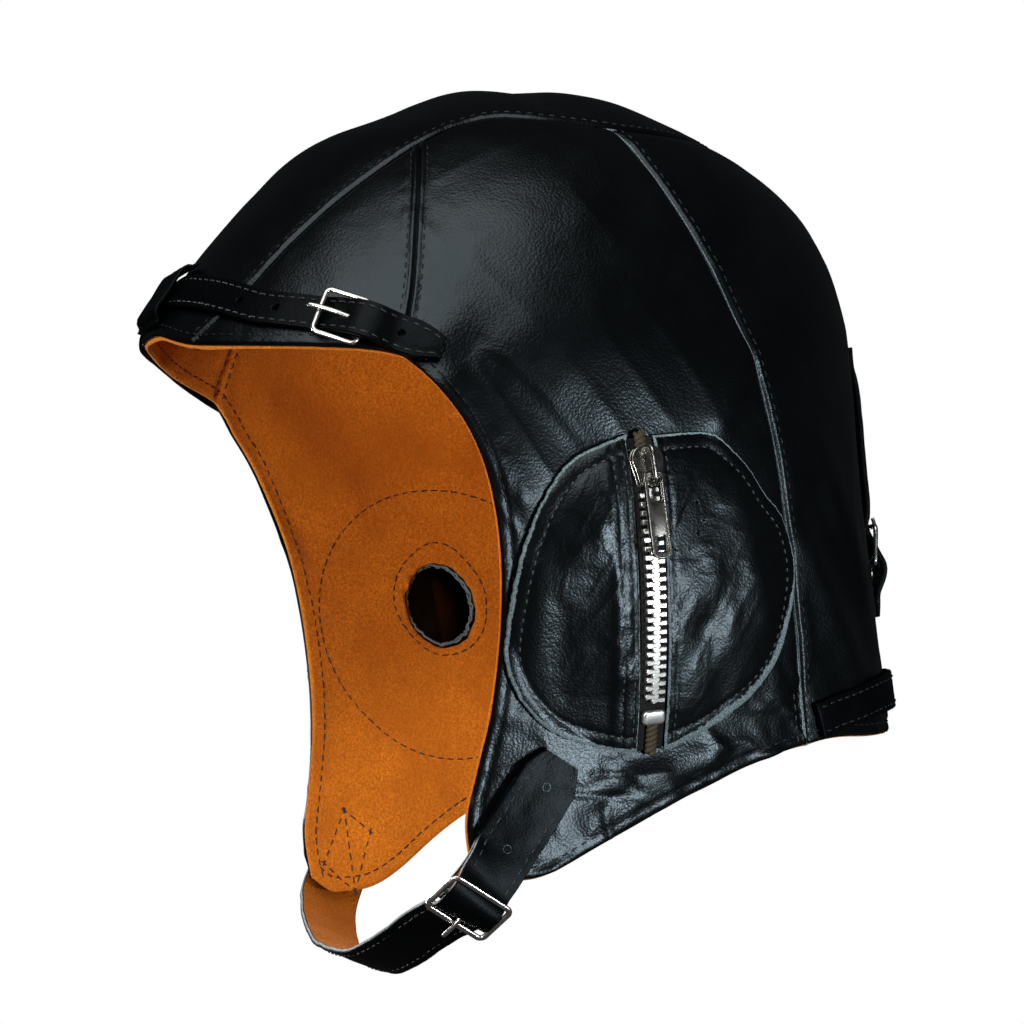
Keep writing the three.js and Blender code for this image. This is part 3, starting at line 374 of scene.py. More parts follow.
# Distance walked along a line to each of its points
def walkedTo(line):
    return np.concatenate([[0], np.cumsum(np.linalg.norm(np.diff(line, axis=0), axis=1))])


# Values given at places, read between them
def blended(at, places, values):
    return np.stack([np.interp(at, places, values[:, k]) for k in range(values.shape[1])], -1)


class Route:
    # Where a strap or zip runs: feet and ways out by distance
    def __init__(self, feet, outs):
        more = 4
        before = feet[0] - unit(feet[1] - feet[0]) * more
        after = feet[-1] + unit(feet[-1] - feet[-2]) * more
        feet = np.vstack([before, feet, after])
        self.feet = feet
        self.outs = np.vstack([outs[:1], outs, outs[-1:]])
        self.lengths = walkedTo(feet) - more
        self.length = self.lengths[-1] - more

    def at(self, distance):
        distance = np.asarray(distance, float)
        before, foot, after = (blended(distance + step, self.lengths, self.feet) for step in (-1, 0, 1))
        along = unit(after - before)
        out = blended(distance, self.lengths, self.outs)
        out = unit(out - along * (out * along).sum(-1, keepdims=True))
        return foot, along, out, np.cross(along, out)


def shellAt(spots):
    out = shellNormal(spots)
    base = shellPoint(spots)
    return base + out * foldHeight(base)[..., None], out


def shellRoute(spots, steps=120):
    return Route(*shellAt(throughPoints(spots, np.linspace(0, 1, steps + 1))))


def freeRoute(feet, outs, steps=140):
    return Route(throughStations(feet, steps, False), throughStations(outs, steps, True))


# Straps, patches and zips lie on the shell: their routes, from the same tables as the solids

strapLayers = {"rest": 0.4, "thick": 1.5, "holder": 1.0, "gap": 0.3, "wire": 0.65}


def placeAtDrop(turn, drop):
    return placeAtHeight(turn, -drop * shell["drop"])


def onSide(side, rearward, down):
    return shellAt(placeOnSide(side, np.array(rearward * shell["front"]), np.array(-down * shell["drop"])))


browLine = [
    (-56, 0.3586), (-49, 0.3423), (-40, 0.3234), (-27, 0.305), (-19.5, 0.2923), (-8, 0.2712), (0, 0.2658),
    (8, 0.2721), (19.5, 0.2923), (27, 0.305), (40, 0.3234), (49, 0.3423), (56, 0.3586),
]
napeHalf = [(141.5, 0.786), (150, 0.7613), (160, 0.741), (170, 0.7297)]
goggleDrops = [0.2973, 0.3604, 0.4279, 0.4955, 0.5405, 0.5856, 0.6441]
loopDrops = [0.2297, 0.2477, 0.268, 0.2883, 0.3077]
chinLoop = [
    (-0.7265, -0.2343, 0.9887), (-0.6399, -0.2667, 1.0113), (-0.5144, -0.301, 1.0333),
    (-0.3388, -0.3371, 1.0554), (-0.138, -0.36, 1.0712), (0.0627, -0.3676, 1.0748),
    (0.2384, -0.3638, 1.0631), (0.389, -0.3581, 1.0468), (0.5207, -0.3505, 1.0329),
    (0.6274, -0.339, 1.0225), (0.6964, -0.3219, 1.0081), (0.7227, -0.2876, 0.9856),
]
chinMiddle = np.array([0, -0.2286 * 105, -0.8829 * 222])
browRoute = shellRoute(np.array([placeAtDrop(*spot) for spot in browLine]), 160)
napePlaces = np.array([placeAtDrop(*spot) for spot in napeHalf])
napeMiddle = placeAtDrop(180, 0.7275)[None]
napeRoute = shellRoute(np.vstack([napePlaces, napeMiddle, (napePlaces * [-1, 1])[::-1]]), 140)
goggleRoute = shellRoute(np.array([placeAtDrop(171, drop) for drop in goggleDrops]), 100)
loopRoute = shellRoute(np.array([placeAtDrop(-6, drop) for drop in loopDrops]), 50)


def chinStations():
    feet, outs = [], []
    for side, rearward, down in ((-1, -0.1476, 0.8784), (-1, -0.1857, 0.9347)):
        foot, out = onSide(side, rearward, down)
        feet.append(foot)
        outs.append(out)
    for leftward, rearward, down in chinLoop:
        foot = np.array([leftward * shell["width"] / 2, rearward * shell["front"], -down * shell["drop"]])
        feet.append(foot)
        outs.append(unit(foot - chinMiddle))
    for side, rearward, down in (
        (1, -0.2362, 0.9527), (1, -0.181, 0.9099), (1, -0.1333, 0.8716), (1, -0.0886, 0.8347),
    ):
        foot, out = onSide(side, rearward, down)
        feet.append(foot)
        outs.append(out)
    return np.array(feet), np.array(outs)


chinRoute = freeRoute(*chinStations(), 200)

# Ear patch: centre, half sizes, stand-off in the middle, folds and outline as shares of the half sizes
patch = {
    "centre": (0.1429 * shell["front"], -0.6378 * shell["drop"]),
    "half": (44, 43),
    "bulge": 6.5,
    "thick": 1.2,
    "slot": 8.4,
    "folds": [
        ((-0.5, 0.6), (-0.25, -0.5), 5, 1.2),
        ((-0.72, 0.2), (-0.6, -0.6), 5, -1),
        ((0.45, 0.6), (0.7, -0.1), 5, 1.1),
        ((0.3, -0.2), (0.5, -0.65), 5, -1),
    ],
    "front": [
        (-0.33, 0.95), (-0.62, 0.81), (-0.8, 0.6), (-0.92, 0.28), (-0.975, -0.05), (-0.98, -0.4),
        (-0.9, -0.62), (-0.73, -0.82), (-0.5, -0.93), (-0.22, -0.99),
    ],
    "rear": [
        (0.23, 1), (0.41, 0.93), (0.57, 0.81), (0.71, 0.65), (0.87, 0.5), (0.97, 0.3), (1, 0.1),
        (0.96, -0.14), (0.9, -0.35), (0.76, -0.56), (0.56, -0.73), (0.38, -0.85), (0.22, -0.93),
    ],
}


def patchSpots(shares):
    return np.asarray(shares, float) * patch["half"] + patch["centre"]


zipEnds = patchSpots([(-0.2364, 0.9558), (0.0273, -0.986)])


def zipSpots(share, rearward):
    way = unit(zipEnds[1] - zipEnds[0])
    aside = np.array([-way[1], way[0]])
    share = np.asarray(share, float)[..., None]
    return zipEnds[0] + (zipEnds[1] - zipEnds[0]) * share + aside * np.asarray(rearward, float)[..., None]


def patchLift(flat):
    shares = (flat - patch["centre"]) / patch["half"]
    inside = np.maximum(0, 1 - (shares**2).sum(-1))
    lift = patch["bulge"] * inside
    for start, end, width, height in patch["folds"]:
        near = distanceTo(flat, patchSpots([start, end]))
        lift += height * np.sqrt(inside) * bell(near / width)
    return lift


def zipRoute(side):
    flat = zipSpots(0.01 + 0.98 * np.linspace(0, 1, 9), np.zeros(9))
    foot, out = shellAt(placeOnSide(side, flat[:, 0], flat[:, 1]))
    return freeRoute(foot + out * patchLift(foot[:, 1:])[:, None], out, 120)


def patchOutline():
    rear = throughPoints(patchSpots(patch["rear"]), np.linspace(0, 1, 60))
    front = throughPoints(patchSpots(patch["front"]), np.linspace(0, 1, 60))
    return np.vstack([rear, front[::-1], rear[:1]])


patchRim = patchOutline()


# How far the leather is held flat by what lies on it, from 0 to 1
def coverAt(points):
    covered = np.zeros(points.shape[:-1])
    layout = [(browRoute, 5.3, 1), (napeRoute, 5, 1), (goggleRoute, 5.5, 1), (loopRoute, 11, 1)]
    layout.append((chinRoute, 8.5, 1))
    for route, half, strength in layout:
        near = distanceTo(points, route.feet[::4])
        covered = np.maximum(covered, strength / (1 + np.exp((near - half - 2.4) * 1.6)))
    flat = points[..., 1:]
    shares = (flat - patch["centre"]) / patch["half"]
    reach = np.sqrt((shares**2).sum(-1))
    rim = distanceTo(flat, patchRim)
    inside = reach < 0.95
    edge = np.where(inside, 1, fading((rim - 2.2) * 1.8))
    onSides = np.abs(points[..., 0]) > 45
    return np.maximum(covered, edge * onSides)


# How each panel is dressed: rows of stitches this far from a seam, puckers across it, and creases
leather = {
    "seamSink": 0.55,
    "seamWidth": 1.5,
    "hemRise": 0.3,
    "hemWidth": 3.4,
    "stitchInset": 2.3,
    "stitchSink": 0.28,
    "pucker": 0.16,
    "hemInset": 3.0,
    "templeRidge": 0.75,
}


# The pulled-in seam, the doubled leather beside it and the stitch line on that
def seamRelief(near, doubled, along, raised=0):
    relief = -leather["seamSink"] * bell(near / leather["seamWidth"])
    relief -= 0.25 * bell(near / 5)
    relief += raised * np.exp(-((near / 1.5) ** 4))
    if not doubled:
        return relief
    doubling = fading((near - leather["hemWidth"]) * 2.4)
    relief += leather["hemRise"] * doubling
    relief -= leather["stitchSink"] * bell((near - leather["stitchInset"]) / 0.55)
    relief += leather["pucker"] * bell((near - 3.2) / 3.2) * noiseAt(along, 2.6, 5)
    return relief


# Which side of each seam is doubled and stitched
stitchedSides = {
    "band": {"band": True},
    "temple": {"band": False, "temple": True},
    "side": {"band": False, "temple": True, "rear": False},
    "back": {"band": False, "rear": True},
}


# Wrinkles of worn leather, deeper near the lower edge and behind the ear patch
def creaseRelief(points, panel):
    leftward = leftSide(points)
    x, y, z = leftward[..., 0], leftward[..., 1], leftward[..., 2]
    low = fading((z + 168 - 0.1 * y) / 7)
    stretched = points * [1, 1, 0.45]
    slanted = np.stack([x, 0.75 * y + 0.66 * z, 0.28 * (0.75 * z - 0.66 * y)], -1)
    flat = np.stack([x * 0.5, y * 0.45, z], -1)
    relief = 0.35 * noiseAt(stretched, 24, 1) + 0.14 * noiseAt(points, 9, 2)
    if panel == "side":
        relief += 0.9 * low * (ridgesAt(slanted, 8, 3) + 0.5 * ridgesAt(flat, 6, 4) - 0.5)
        brow = bell((y + 52) / 16) * bell((z + 45) / 30)
        relief += 0.16 * brow * (ridgesAt(points * [0.4, 0.35, 1], 4.2, 6) - 0.4)
        cheek = np.exp(-(((y + 30) / 22) ** 2 + ((z + 95) / 26) ** 2))
        relief += 0.45 * cheek * (ridgesAt(slanted, 9, 7) - 0.4)
        relief += 0.28 * (ridgesAt(slanted, 13, 8) - 0.3)
    elif panel == "back":
        relief += 0.45 * (ridgesAt(points * [1, 0.6, 0.4], 19, 9) - 0.3)
        relief += 0.3 * low * (ridgesAt(flat, 6, 10) - 0.4)
    elif panel == "temple":
        relief += 0.08 * (ridgesAt(points * [0.5, 0.5, 1], 5, 11) - 0.3)
    return relief


# The outer face of a panel and the way out; what lies on the leather holds its creases down
def leatherAt(spots, panel):
    out = shellNormal(spots)
    base = shellPoint(spots)
    leftward = leftSide(base)
    relief = creaseRelief(base, panel)
    for seam, doubled in stitchedSides[panel].items():
        raised = leather["templeRidge"] if seam == "temple" else 0
        relief += seamRelief(distanceTo(leftward, seamPaths[seam]), doubled, base, raised)
    fromHem = distanceTo(leftward, hemPath)
    relief -= leather["stitchSink"] * bell((fromHem - leather["hemInset"]) / 0.6)
    relief += 0.22 * bell((fromHem - 4.5) / 4) * noiseAt(base, 3, 12)
    covered = coverAt(base)
    relief = relief * (1 - covered) + np.minimum(relief, 0.1) * covered
    return base + out * (foldHeight(base) + relief)[..., None], out


# Meshes


# Makes an object from points in millimetres, faces, materials, each face's material and point layers
def meshOf(name, points, faces, materials, numbers=None, layers=None):
    mesh = bpy.data.meshes.new(name)
    sizes = np.array([len(face) for face in faces], np.int32) if isinstance(faces, list) else None
    flat = np.concatenate([np.asarray(face) for face in faces]) if sizes is not None else faces.reshape(-1)
    if sizes is None:
        sizes = np.full(len(faces), faces.shape[1], np.int32)
    mesh.vertices.add(len(points))
    mesh.vertices.foreach_set("co", (np.asarray(points, float) * mm).astype(np.float32).ravel())
    mesh.loops.add(len(flat))
    mesh.loops.foreach_set("vertex_index", flat.astype(np.int32))
    mesh.polygons.add(len(sizes))
    mesh.polygons.foreach_set("loop_start", np.concatenate([[0], np.cumsum(sizes)[:-1]]).astype(np.int32))
    for material in materials:
        mesh.materials.append(material)
    if numbers is not None:
        mesh.polygons.foreach_set("material_index", np.asarray(numbers, np.int32))
    for layer, values in (layers or {}).items():
        attribute = mesh.attributes.new(layer, "FLOAT", "POINT")
        attribute.data.foreach_set("value", np.asarray(values, np.float32))
    mesh.update()
    mesh.validate()
    mesh.shade_smooth()
    return placed(name, mesh)


def gridFaces(rows, columns):
    number = np.arange(rows * columns).reshape(rows, columns)
    return np.stack([number[:-1, :-1], number[1:, :-1], number[1:, 1:], number[:-1, 1:]], -1).reshape(-1, 4)


# Edges that only one face uses, each as it runs in that face
def rimOf(faces):
    starts = faces.reshape(-1)
    ends = np.roll(faces, -1, axis=1).reshape(-1)
    span = max(starts.max(), ends.max()) + 1
    code = starts.astype(np.int64) * span + ends
    twin = ends.astype(np.int64) * span + starts
    alone = ~np.isin(code, twin) & (starts != ends)
    return starts[alone], ends[alone]


# Turns faces so that they look along out
def facingUp(points, faces, out):
    corner = points[faces]
    normal = np.cross(corner[:, 2] - corner[:, 0], corner[:, 3] - corner[:, 1])
    way = out[faces].mean(1)
    wrong = (normal * way).sum(1) < 0
    faces = faces.copy()
    faces[wrong] = faces[wrong][:, ::-1]
    return faces


# Top faces, bottom faces and rim of a wall whose bottom points follow its top points
def wallFaces(faces, count):
    starts, ends = rimOf(faces)
    rim = np.stack([starts, starts + count, ends + count, ends], -1)
    return np.vstack([faces, faces[:, ::-1] + count, rim])


# Draws the rim of a sheet in by a little
def pulledIn(points, faces, inset):
    starts, ends = rimOf(faces)
    middle = np.zeros_like(points)
    share = np.zeros(len(points))
    corners = points[faces].mean(1)
    for k in range(4):
        np.add.at(middle, faces[:, k], corners)
        np.add.at(share, faces[:, k], 1)
    way = unit(middle / np.maximum(share, 1)[:, None] - points)
    moved = points.copy()
    rim = np.unique(np.concatenate([starts, ends]))
    moved[rim] += way[rim] * inset
    return moved


def stretch(table, first, last, shares):
    spans = len(table) - 1
    return throughPoints(spotsOf(table), (first + (last - first) * np.asarray(shares)) / spans)


def wholeLine(table, shares):
    return stretch(table, 0, len(table) - 1, shares)


def mirrored(spots):
    return spots * [-1, 1]


# A net between four edges; down and over are the shares of its rows and columns
def fourSided(left, right, top, bottom, down, over):
    down = down[:, None, None]
    over = over[None, :, None]
    ruled = left[:, None] * (1 - over) + right[:, None] * over
    sunk = top[None] * (1 - down) + bottom[None] * down
    highCorners = (top[0] * (1 - over) + top[-1] * over) * (1 - down)
    corners = highCorners + (bottom[0] * (1 - over) + bottom[-1] * over) * down
    return ruled + sunk - corners


# Even shares, with a few more beside both ends so that an edge can roll over
def closeAtEnds(count, length):
    near = np.array([0.35, 0.8, 1.5]) / length
    return np.unique(np.concatenate([np.linspace(0, 1, count + 1), near, 1 - near]))


def bandNet(leftSeam, bandOver):
    over = bandOver[None, :, None]
    band = leftSeam[:, None] * (1 - over) + mirrored(leftSeam)[:, None] * over
    brow = stretch(browEdge, 0, 1, np.abs(1 - 2 * bandOver))
    brow[bandOver > 0.5] = mirrored(brow[bandOver > 0.5])
    fade = np.clip(1 - np.arange(len(leftSeam)) / 12, 0, 1) ** 2
    return band + (brow - band[0])[None] * fade[:, None, None]


def templeNet(seam, down, over):
    line = wholeLine(templeSeam, down)
    apex = np.repeat(line[:1], len(over), 0)
    bottom = stretch(browEdge, 1, len(browEdge) - 1, over)
    return fourSided(seam[::-1], line, apex, bottom, down, over)


def sideNet(top, templeDown, cheekDown, over):
    down = np.concatenate([templeDown * 0.4, 0.4 + cheekDown * 0.6])
    line = wholeLine(templeSeam, templeDown)
    front = np.vstack([line, wholeLine(cheekEdge, cheekDown)])
    rear = wholeLine(rearSeam, down)
    return fourSided(front, rear, top, wholeLine(flapEdge, over), down, over)


def backNet(rear, top, down, over):
    bottom = wholeLine(napeEdge, over)
    wholeTop = np.vstack([top, mirrored(top[:-1])[::-1]])
    wholeBottom = np.vstack([bottom, mirrored(bottom[:-1])[::-1]])
    wholeOver = np.concatenate([over / 2, 1 - over[:-1][::-1] / 2])
    return fourSided(rear, mirrored(rear), wholeTop, wholeBottom, down, wholeOver)


def panelNets():
    templeDown = closeAtEnds(62, 75)
    sideOver = closeAtEnds(92, 105)
    backOver = closeAtEnds(64, 75)
    backDown = closeAtEnds(120, 160)
    cheekDown = np.linspace(0, 1, 118)[1:]
    templeSeamTop = stretch(bandSeam, 0, bandTempleEnd, templeDown)
    sideTop = stretch(bandSeam, bandTempleEnd, bandSideEnd, sideOver)
    backTop = stretch(bandSeam, bandSideEnd, len(bandSeam) - 1, backOver)
    leftSeam = wholeLine(bandSeam, np.linspace(0, 1, 201))
    rear = wholeLine(rearSeam, backDown)
    return {
        "band": bandNet(leftSeam, closeAtEnds(62, 66)),
        "temple": templeNet(templeSeamTop, templeDown, closeAtEnds(44, 48)),
        "side": sideNet(sideTop, templeDown, cheekDown, sideOver),
        "back": backNet(rear, backTop, backDown, backOver),
    }


# Ear hole: centre, half sizes and a hand-cut outline

earHole = {
    "y": 14.7, "z": -136, "halfWidth": 10.25, "halfHeight": 11.5,
    "fray": 0.35, "liningGrowth": 0.9, "liningFray": 0.45,
}
holeRim = [(1, 0), (0.72, 0.62), (0.1, 1), (-0.6, 0.8), (-1, 0.1), (-0.78, -0.6), (-0.05, -1), (0.7, -0.72)]


def holeRadius(angle, growth, fray):
    loop = throughPoints(np.array(holeRim + holeRim[:1], float), np.linspace(0, 1, 161))
    loop = loop * [earHole["halfWidth"] + growth, earHole["halfHeight"] + growth]
    turns = np.unwrap(np.arctan2(loop[:, 1], loop[:, 0]))
    radius = np.hypot(loop[:, 0], loop[:, 1])
    wrapped = np.mod(angle - turns[0], 2 * np.pi) + turns[0]
    smooth = np.interp(wrapped, turns, radius)
    ring = np.stack([np.cos(angle), np.sin(angle), np.zeros_like(angle)], -1) * 10
    return smooth + fray * (noiseAt(ring, 2.4, 21) + 0.6 * noiseAt(ring, 0.9, 22))


# Cuts the ear hole in one side's sheet: inner faces go, and the points round it move to its rim
def withHole(points, faces, side, growth, fray):
    y = points[:, 1] - earHole["y"]
    z = points[:, 2] - earHole["z"]
    onSide = points[:, 0] * side > 20
    angle = np.arctan2(z, y)
    radius = np.hypot(y, z)
    limit = holeRadius(angle, growth, fray)
    inside = onSide & (radius < limit)
    kept = faces[~inside[faces].all(1)]
    moved = points.copy()
    scale = np.where(inside, limit / np.maximum(radius, 1e-6), 1)
    moved[:, 1] = earHole["y"] + y * scale
    moved[:, 2] = earHole["z"] + z * scale
    return moved, kept


nets = panelNets()
print("panel nets laid out")


# Rows that stitches or teeth run along: each a line of feet with the way out at each foot


def pathMesh(name, rows):
    mesh = bpy.data.meshes.new(name)
    feet = np.vstack([feet for feet, out in rows])
    outs = np.vstack([out for feet, out in rows])
    edges = []
    start = 0
    for rowFeet, _ in rows:
        edges += [(start + k, start + k + 1) for k in range(len(rowFeet) - 1)]
        start += len(rowFeet)
    mesh.from_pydata([tuple(point) for point in feet * mm], edges, [])
    attribute = mesh.attributes.new("out", "FLOAT_VECTOR", "POINT")
    attribute.data.foreach_set("vector", outs.astype(np.float32).ravel())
    return placed(name, mesh)


# Links or sets the named inputs of one node
def feed(tree, node, inputs):
    for key, value in inputs.items():
        if isinstance(value, bpy.types.NodeSocket):
            tree.links.new(value, node.inputs[key])
        else:
            node.inputs[key].default_value = value
    return node


# A maker of nodes for one tree, with their settings and inputs
def linker(tree, family="ShaderNode"):
    def add(kind, inputs=(), **settings):
        node = tree.nodes.new(family + kind)
        for key, value in settings.items():
            setattr(node, key, value)
        return feed(tree, node, dict(inputs))

    return add


# One piece set down again and again along a path, turned to its way and out
def repeatTree():
    tree = bpy.data.node_groups.new("repeatAlong", "GeometryNodeTree")
    sockets = {
        "Path": "Geometry", "Piece": "Object", "Pitch": "Float", "Sway": "Float", "Uneven": "Float",
        "Seed": "Int", "Finish": "Material",
    }
    for name, kind in sockets.items():
        tree.interface.new_socket(name, in_out="INPUT", socket_type="NodeSocket" + kind)
    tree.interface.new_socket("Result", in_out="OUTPUT", socket_type="NodeSocketGeometry")
    add = linker(tree, "")
    start = add("NodeGroupInput").outputs
    curve = add("GeometryNodeMeshToCurve", {"Mesh": start["Path"]}).outputs["Curve"]
    even = add("GeometryNodeResampleCurve", {"Curve": curve, "Length": start["Pitch"]}, mode="LENGTH")
    piece = add("GeometryNodeObjectInfo", {"Object": start["Piece"]})
    way = add("GeometryNodeInputTangent").outputs[0]
    out = add("GeometryNodeInputNamedAttribute", {"Name": "out"}, data_type="FLOAT_VECTOR")
    toWay = add("FunctionNodeAlignRotationToVector", {"Vector": way}, axis="X").outputs["Rotation"]
    facing = {"Rotation": toWay, "Vector": out.outputs["Attribute"]}
    toOut = add("FunctionNodeAlignRotationToVector", facing, axis="Z", pivot_axis="X").outputs["Rotation"]
    negative = add("ShaderNodeMath", {0: start["Sway"], 1: -1}, operation="MULTIPLY").outputs[0]
    span = {2: negative, 3: start["Sway"], "Seed": start["Seed"]}
    sway = add("FunctionNodeRandomValue", span, data_type="FLOAT").outputs[1]
    sideways = add("ShaderNodeCombineXYZ", {"Z": sway}).outputs[0]
    turns = {"Rotation": toOut, "Rotate By": sideways}
    turned = add("FunctionNodeRotateRotation", turns, rotation_space="LOCAL")
    smallest = add("ShaderNodeMath", {0: 1, 1: start["Uneven"]}, operation="SUBTRACT").outputs[0]
    largest = add("ShaderNodeMath", {0: 1, 1: start["Uneven"]}, operation="ADD").outputs[0]
    sizes = {2: smallest, 3: largest, "Seed": start["Seed"]}
    size = add("FunctionNodeRandomValue", sizes, data_type="FLOAT").outputs[1]
    put = add("GeometryNodeInstanceOnPoints", {
        "Points": even.outputs["Curve"],
        "Instance": piece.outputs["Geometry"],
        "Rotation": turned.outputs["Rotation"],
        "Scale": size,
    })
    real = add("GeometryNodeRealizeInstances", {"Geometry": put.outputs["Instances"]}).outputs["Geometry"]
    finish = add("GeometryNodeSetMaterial", {"Geometry": real, "Material": start["Finish"]})
    add("NodeGroupOutput", {"Result": finish.outputs["Geometry"]})
    return tree


repeatAlong = repeatTree()


# Bakes a piece set down along rows into one plain mesh
def repeated(name, rows, piece, pitch, finish, sway=0.0, uneven=0.0, seed=1):
    path = pathMesh(name + "Path", rows)
    modifier = path.modifiers.new("repeat", "NODES")
    modifier.node_group = repeatAlong
    given = {"Piece": piece, "Pitch": pitch * mm, "Finish": finish}
    given |= {"Sway": sway, "Uneven": uneven, "Seed": seed}
    for item in repeatAlong.interface.items_tree:
        if item.in_out == "INPUT" and item.name in given:
            modifier[item.identifier] = given[item.name]
    evaluated = path.evaluated_get(bpy.context.evaluated_depsgraph_get())
    mesh = bpy.data.meshes.new_from_object(evaluated)
    bpy.data.objects.remove(path)
    mesh.name = name
    mesh.materials.clear()
    mesh.materials.append(finish)
    mesh.shade_smooth()
    return placed(name, mesh)


# Outline of a strap from the underside round to the top: share of the flat half width, reach, height
def roundedSection(thick, corner, across):
    flat = np.linspace(-1, 1, across)
    high = thick / 2
    turns = np.radians([18, 54])
    points = [(share, 0, -high) for share in flat]
    points += [(1, corner * math.sin(t), -(high - corner) - corner * math.cos(t)) for t in turns]
    points += [(1, corner * math.sin(t), (high - corner) + corner * math.cos(t)) for t in turns[::-1]]
    points += [(share, 0, high) for share in flat[::-1]]
    points += [(-1, -corner * math.sin(t), (high - corner) + corner * math.cos(t)) for t in turns]
    points += [(-1, -corner * math.sin(t), -(high - corner) - corner * math.cos(t)) for t in turns[::-1]]
    return np.array(points)


# Faces of a tube whose points go ring by ring, with its two ends closed
def tubeFaces(rings, sides):
    number = np.arange(rings * sides).reshape(rings, sides)
    wrapped = np.hstack([number, number[:, :1]])
    corners = [wrapped[:-1, :-1], wrapped[:-1, 1:], wrapped[1:, 1:], wrapped[1:, :-1]]
    faces = [tuple(face) for face in np.stack(corners, -1).reshape(-1, 4)]
    return faces + [tuple(number[0][::-1]), tuple(number[-1])]


# What every strap has unless its own entry says otherwise
plainStrap = {
    "thick": 1.5, "corner": 0.4, "wave": 0.12, "ragged": 0.1, "seed": 1, "across": 9, "step": 0.9,
    "tip": None, "stitchInsets": (), "hole": 1.0, "farReach": 0, "centreBar": False, "flat": 1, "wire": 0.7,
}


# Shares of a strap's full width where so much of it is left before its tip
def tapered(left, taper):
    near = np.clip(left / taper[0], 0, 1)
    return taper[1] + (1 - taper[1]) * near ** taper[2]


# A strap whose middle runs through distances and heights over a route
def sweepStrap(name, route, middle, spec, materials):
    line = np.array(middle, float)
    spans = len(line) - 1
    shares = [np.zeros(1)]
    for span in range(spans):
        count = max(3, int(np.hypot(*(line[span + 1] - line[span])) / spec["step"]))
        shares.append((span + np.arange(1, count + 1) / count) / spans)
    shares = np.concatenate(shares)
    spots = throughPoints(line, shares)
    ahead = throughPoints(line, np.minimum(shares + 1e-4, 1))
    ways = unit(ahead - throughPoints(line, np.maximum(shares - 1e-4, 0)))
    foot, along, out, across = route.at(spots[:, 0])
    width = np.full(len(shares), float(spec["width"]))
    if spec["tip"]:
        width *= tapered(route.length - spots[:, 0], spec["tip"])
    section = roundedSection(spec["thick"], spec["corner"], spec["across"])
    side = section[None, :, 0] * (width[:, None] / 2 - spec["corner"]) + section[None, :, 1]
    rise = np.repeat(section[None, :, 2], len(shares), 0)
    onTop = section[:, 2] > 0
    distances = np.repeat(spots[:, :1], len(section), 1)
    inner = width[:, None] / 2 - np.abs(side)
    for inset in spec["stitchInsets"]:
        rise -= onTop * 0.22 * bell((inner - inset) / 0.5)
    rough = np.stack([distances, side, np.full_like(side, spec["seed"] * 9.7)], -1)
    wave = spec["wave"]
    rise += wave * noiseAt(rough, 9, 31) + 0.4 * wave * noiseAt(rough, 3.1, 32)
    side = side + spec["ragged"] * (inner < 0.6) * noiseAt(rough, 2.2, 33)
    lift = spots[:, 1:2] + rise * ways[:, :1]
    slip = -rise * ways[:, 1:2]
    points = (
        foot[:, None]
        + along[:, None] * slip[..., None]
        + across[:, None] * side[..., None]
        + out[:, None] * lift[..., None]
    )
    rows, columns = side.shape
    faces = tubeFaces(rows, columns)
    under = (np.arange(columns) < spec["across"] - 1).astype(int)
    numbers = np.tile(under, rows - 1)
    numbers = np.concatenate([numbers, [0, 0]])
    walked = np.concatenate([[0], np.hypot(*np.diff(spots, axis=0).T).cumsum()])
    rim = np.minimum(inner * 4 + 1.6, (walked[-1] - walked)[:, None])  # pale at its tip alone
    strap = meshOf(name, points.reshape(-1, 3), faces, materials, numbers * (len(materials) > 1),
                   {"rim": rim.ravel()})
    outward(strap)
    return strap, lambda distance: throughDistance(spots, distance)


def throughDistance(spots, distance):
    return np.interp(distance, spots[:, 0], spots[:, 1])


def outward(piece):
    shape = bmesh.new()
    shape.from_mesh(piece.data)
    bmesh.ops.remove_doubles(shape, verts=shape.verts, dist=1e-7)
    bmesh.ops.recalc_face_normals(shape, faces=shape.faces)
    shape.to_mesh(piece.data)
    shape.free()


# A round wire through points in space; flat under 1 squashes it towards facing
def sweepWire(name, points, radius, material, closed=True, sides=12, facing=(0, 0, 1), flat=1.0):
    points = np.asarray(points, float)
    if closed:
        way = unit(np.roll(points, -1, 0) - np.roll(points, 1, 0))
    else:
        way = unit(np.gradient(points, axis=0))
    side = unit(np.cross(way, np.asarray(facing, float)))
    up = np.cross(side, way)
    angle = np.linspace(0, 2 * np.pi, sides, endpoint=False)
    rings = (
        points[:, None]
        + side[:, None] * (radius * np.cos(angle))[None, :, None]
        + up[:, None] * (radius * flat * np.sin(angle))[None, :, None]
    )
    rows = len(points)
    number = np.arange(rows * sides).reshape(rows, sides)
    wrapped = np.hstack([number, number[:, :1]])
    if closed:
        wrapped = np.vstack([wrapped, wrapped[:1]])
    corners = [wrapped[:-1, :-1], wrapped[1:, :-1], wrapped[1:, 1:], wrapped[:-1, 1:]]
    faces = np.stack(corners, -1).reshape(-1, 4)
    faceList = [tuple(face) for face in faces]
    if not closed:
        faceList += [tuple(number[0]), tuple(number[-1][::-1])]
    wire = meshOf(name, rings.reshape(-1, 3), faceList, [material])
    outward(wire)
    return wire


# Joins objects into one, which keeps the first one's materials
def fused(name, *pieces):
    mesh = bmesh.new()
    for piece in pieces:
        mesh.from_mesh(piece.data)
    merged = bpy.data.meshes.new(name)
    mesh.to_mesh(merged)
    mesh.free()
    for material in pieces[0].data.materials:
        merged.materials.append(material)
    merged.shade_smooth()
    made = placed(name, merged)
    for piece in pieces:
        bpy.data.objects.remove(piece)
    return made


# Shared finishes


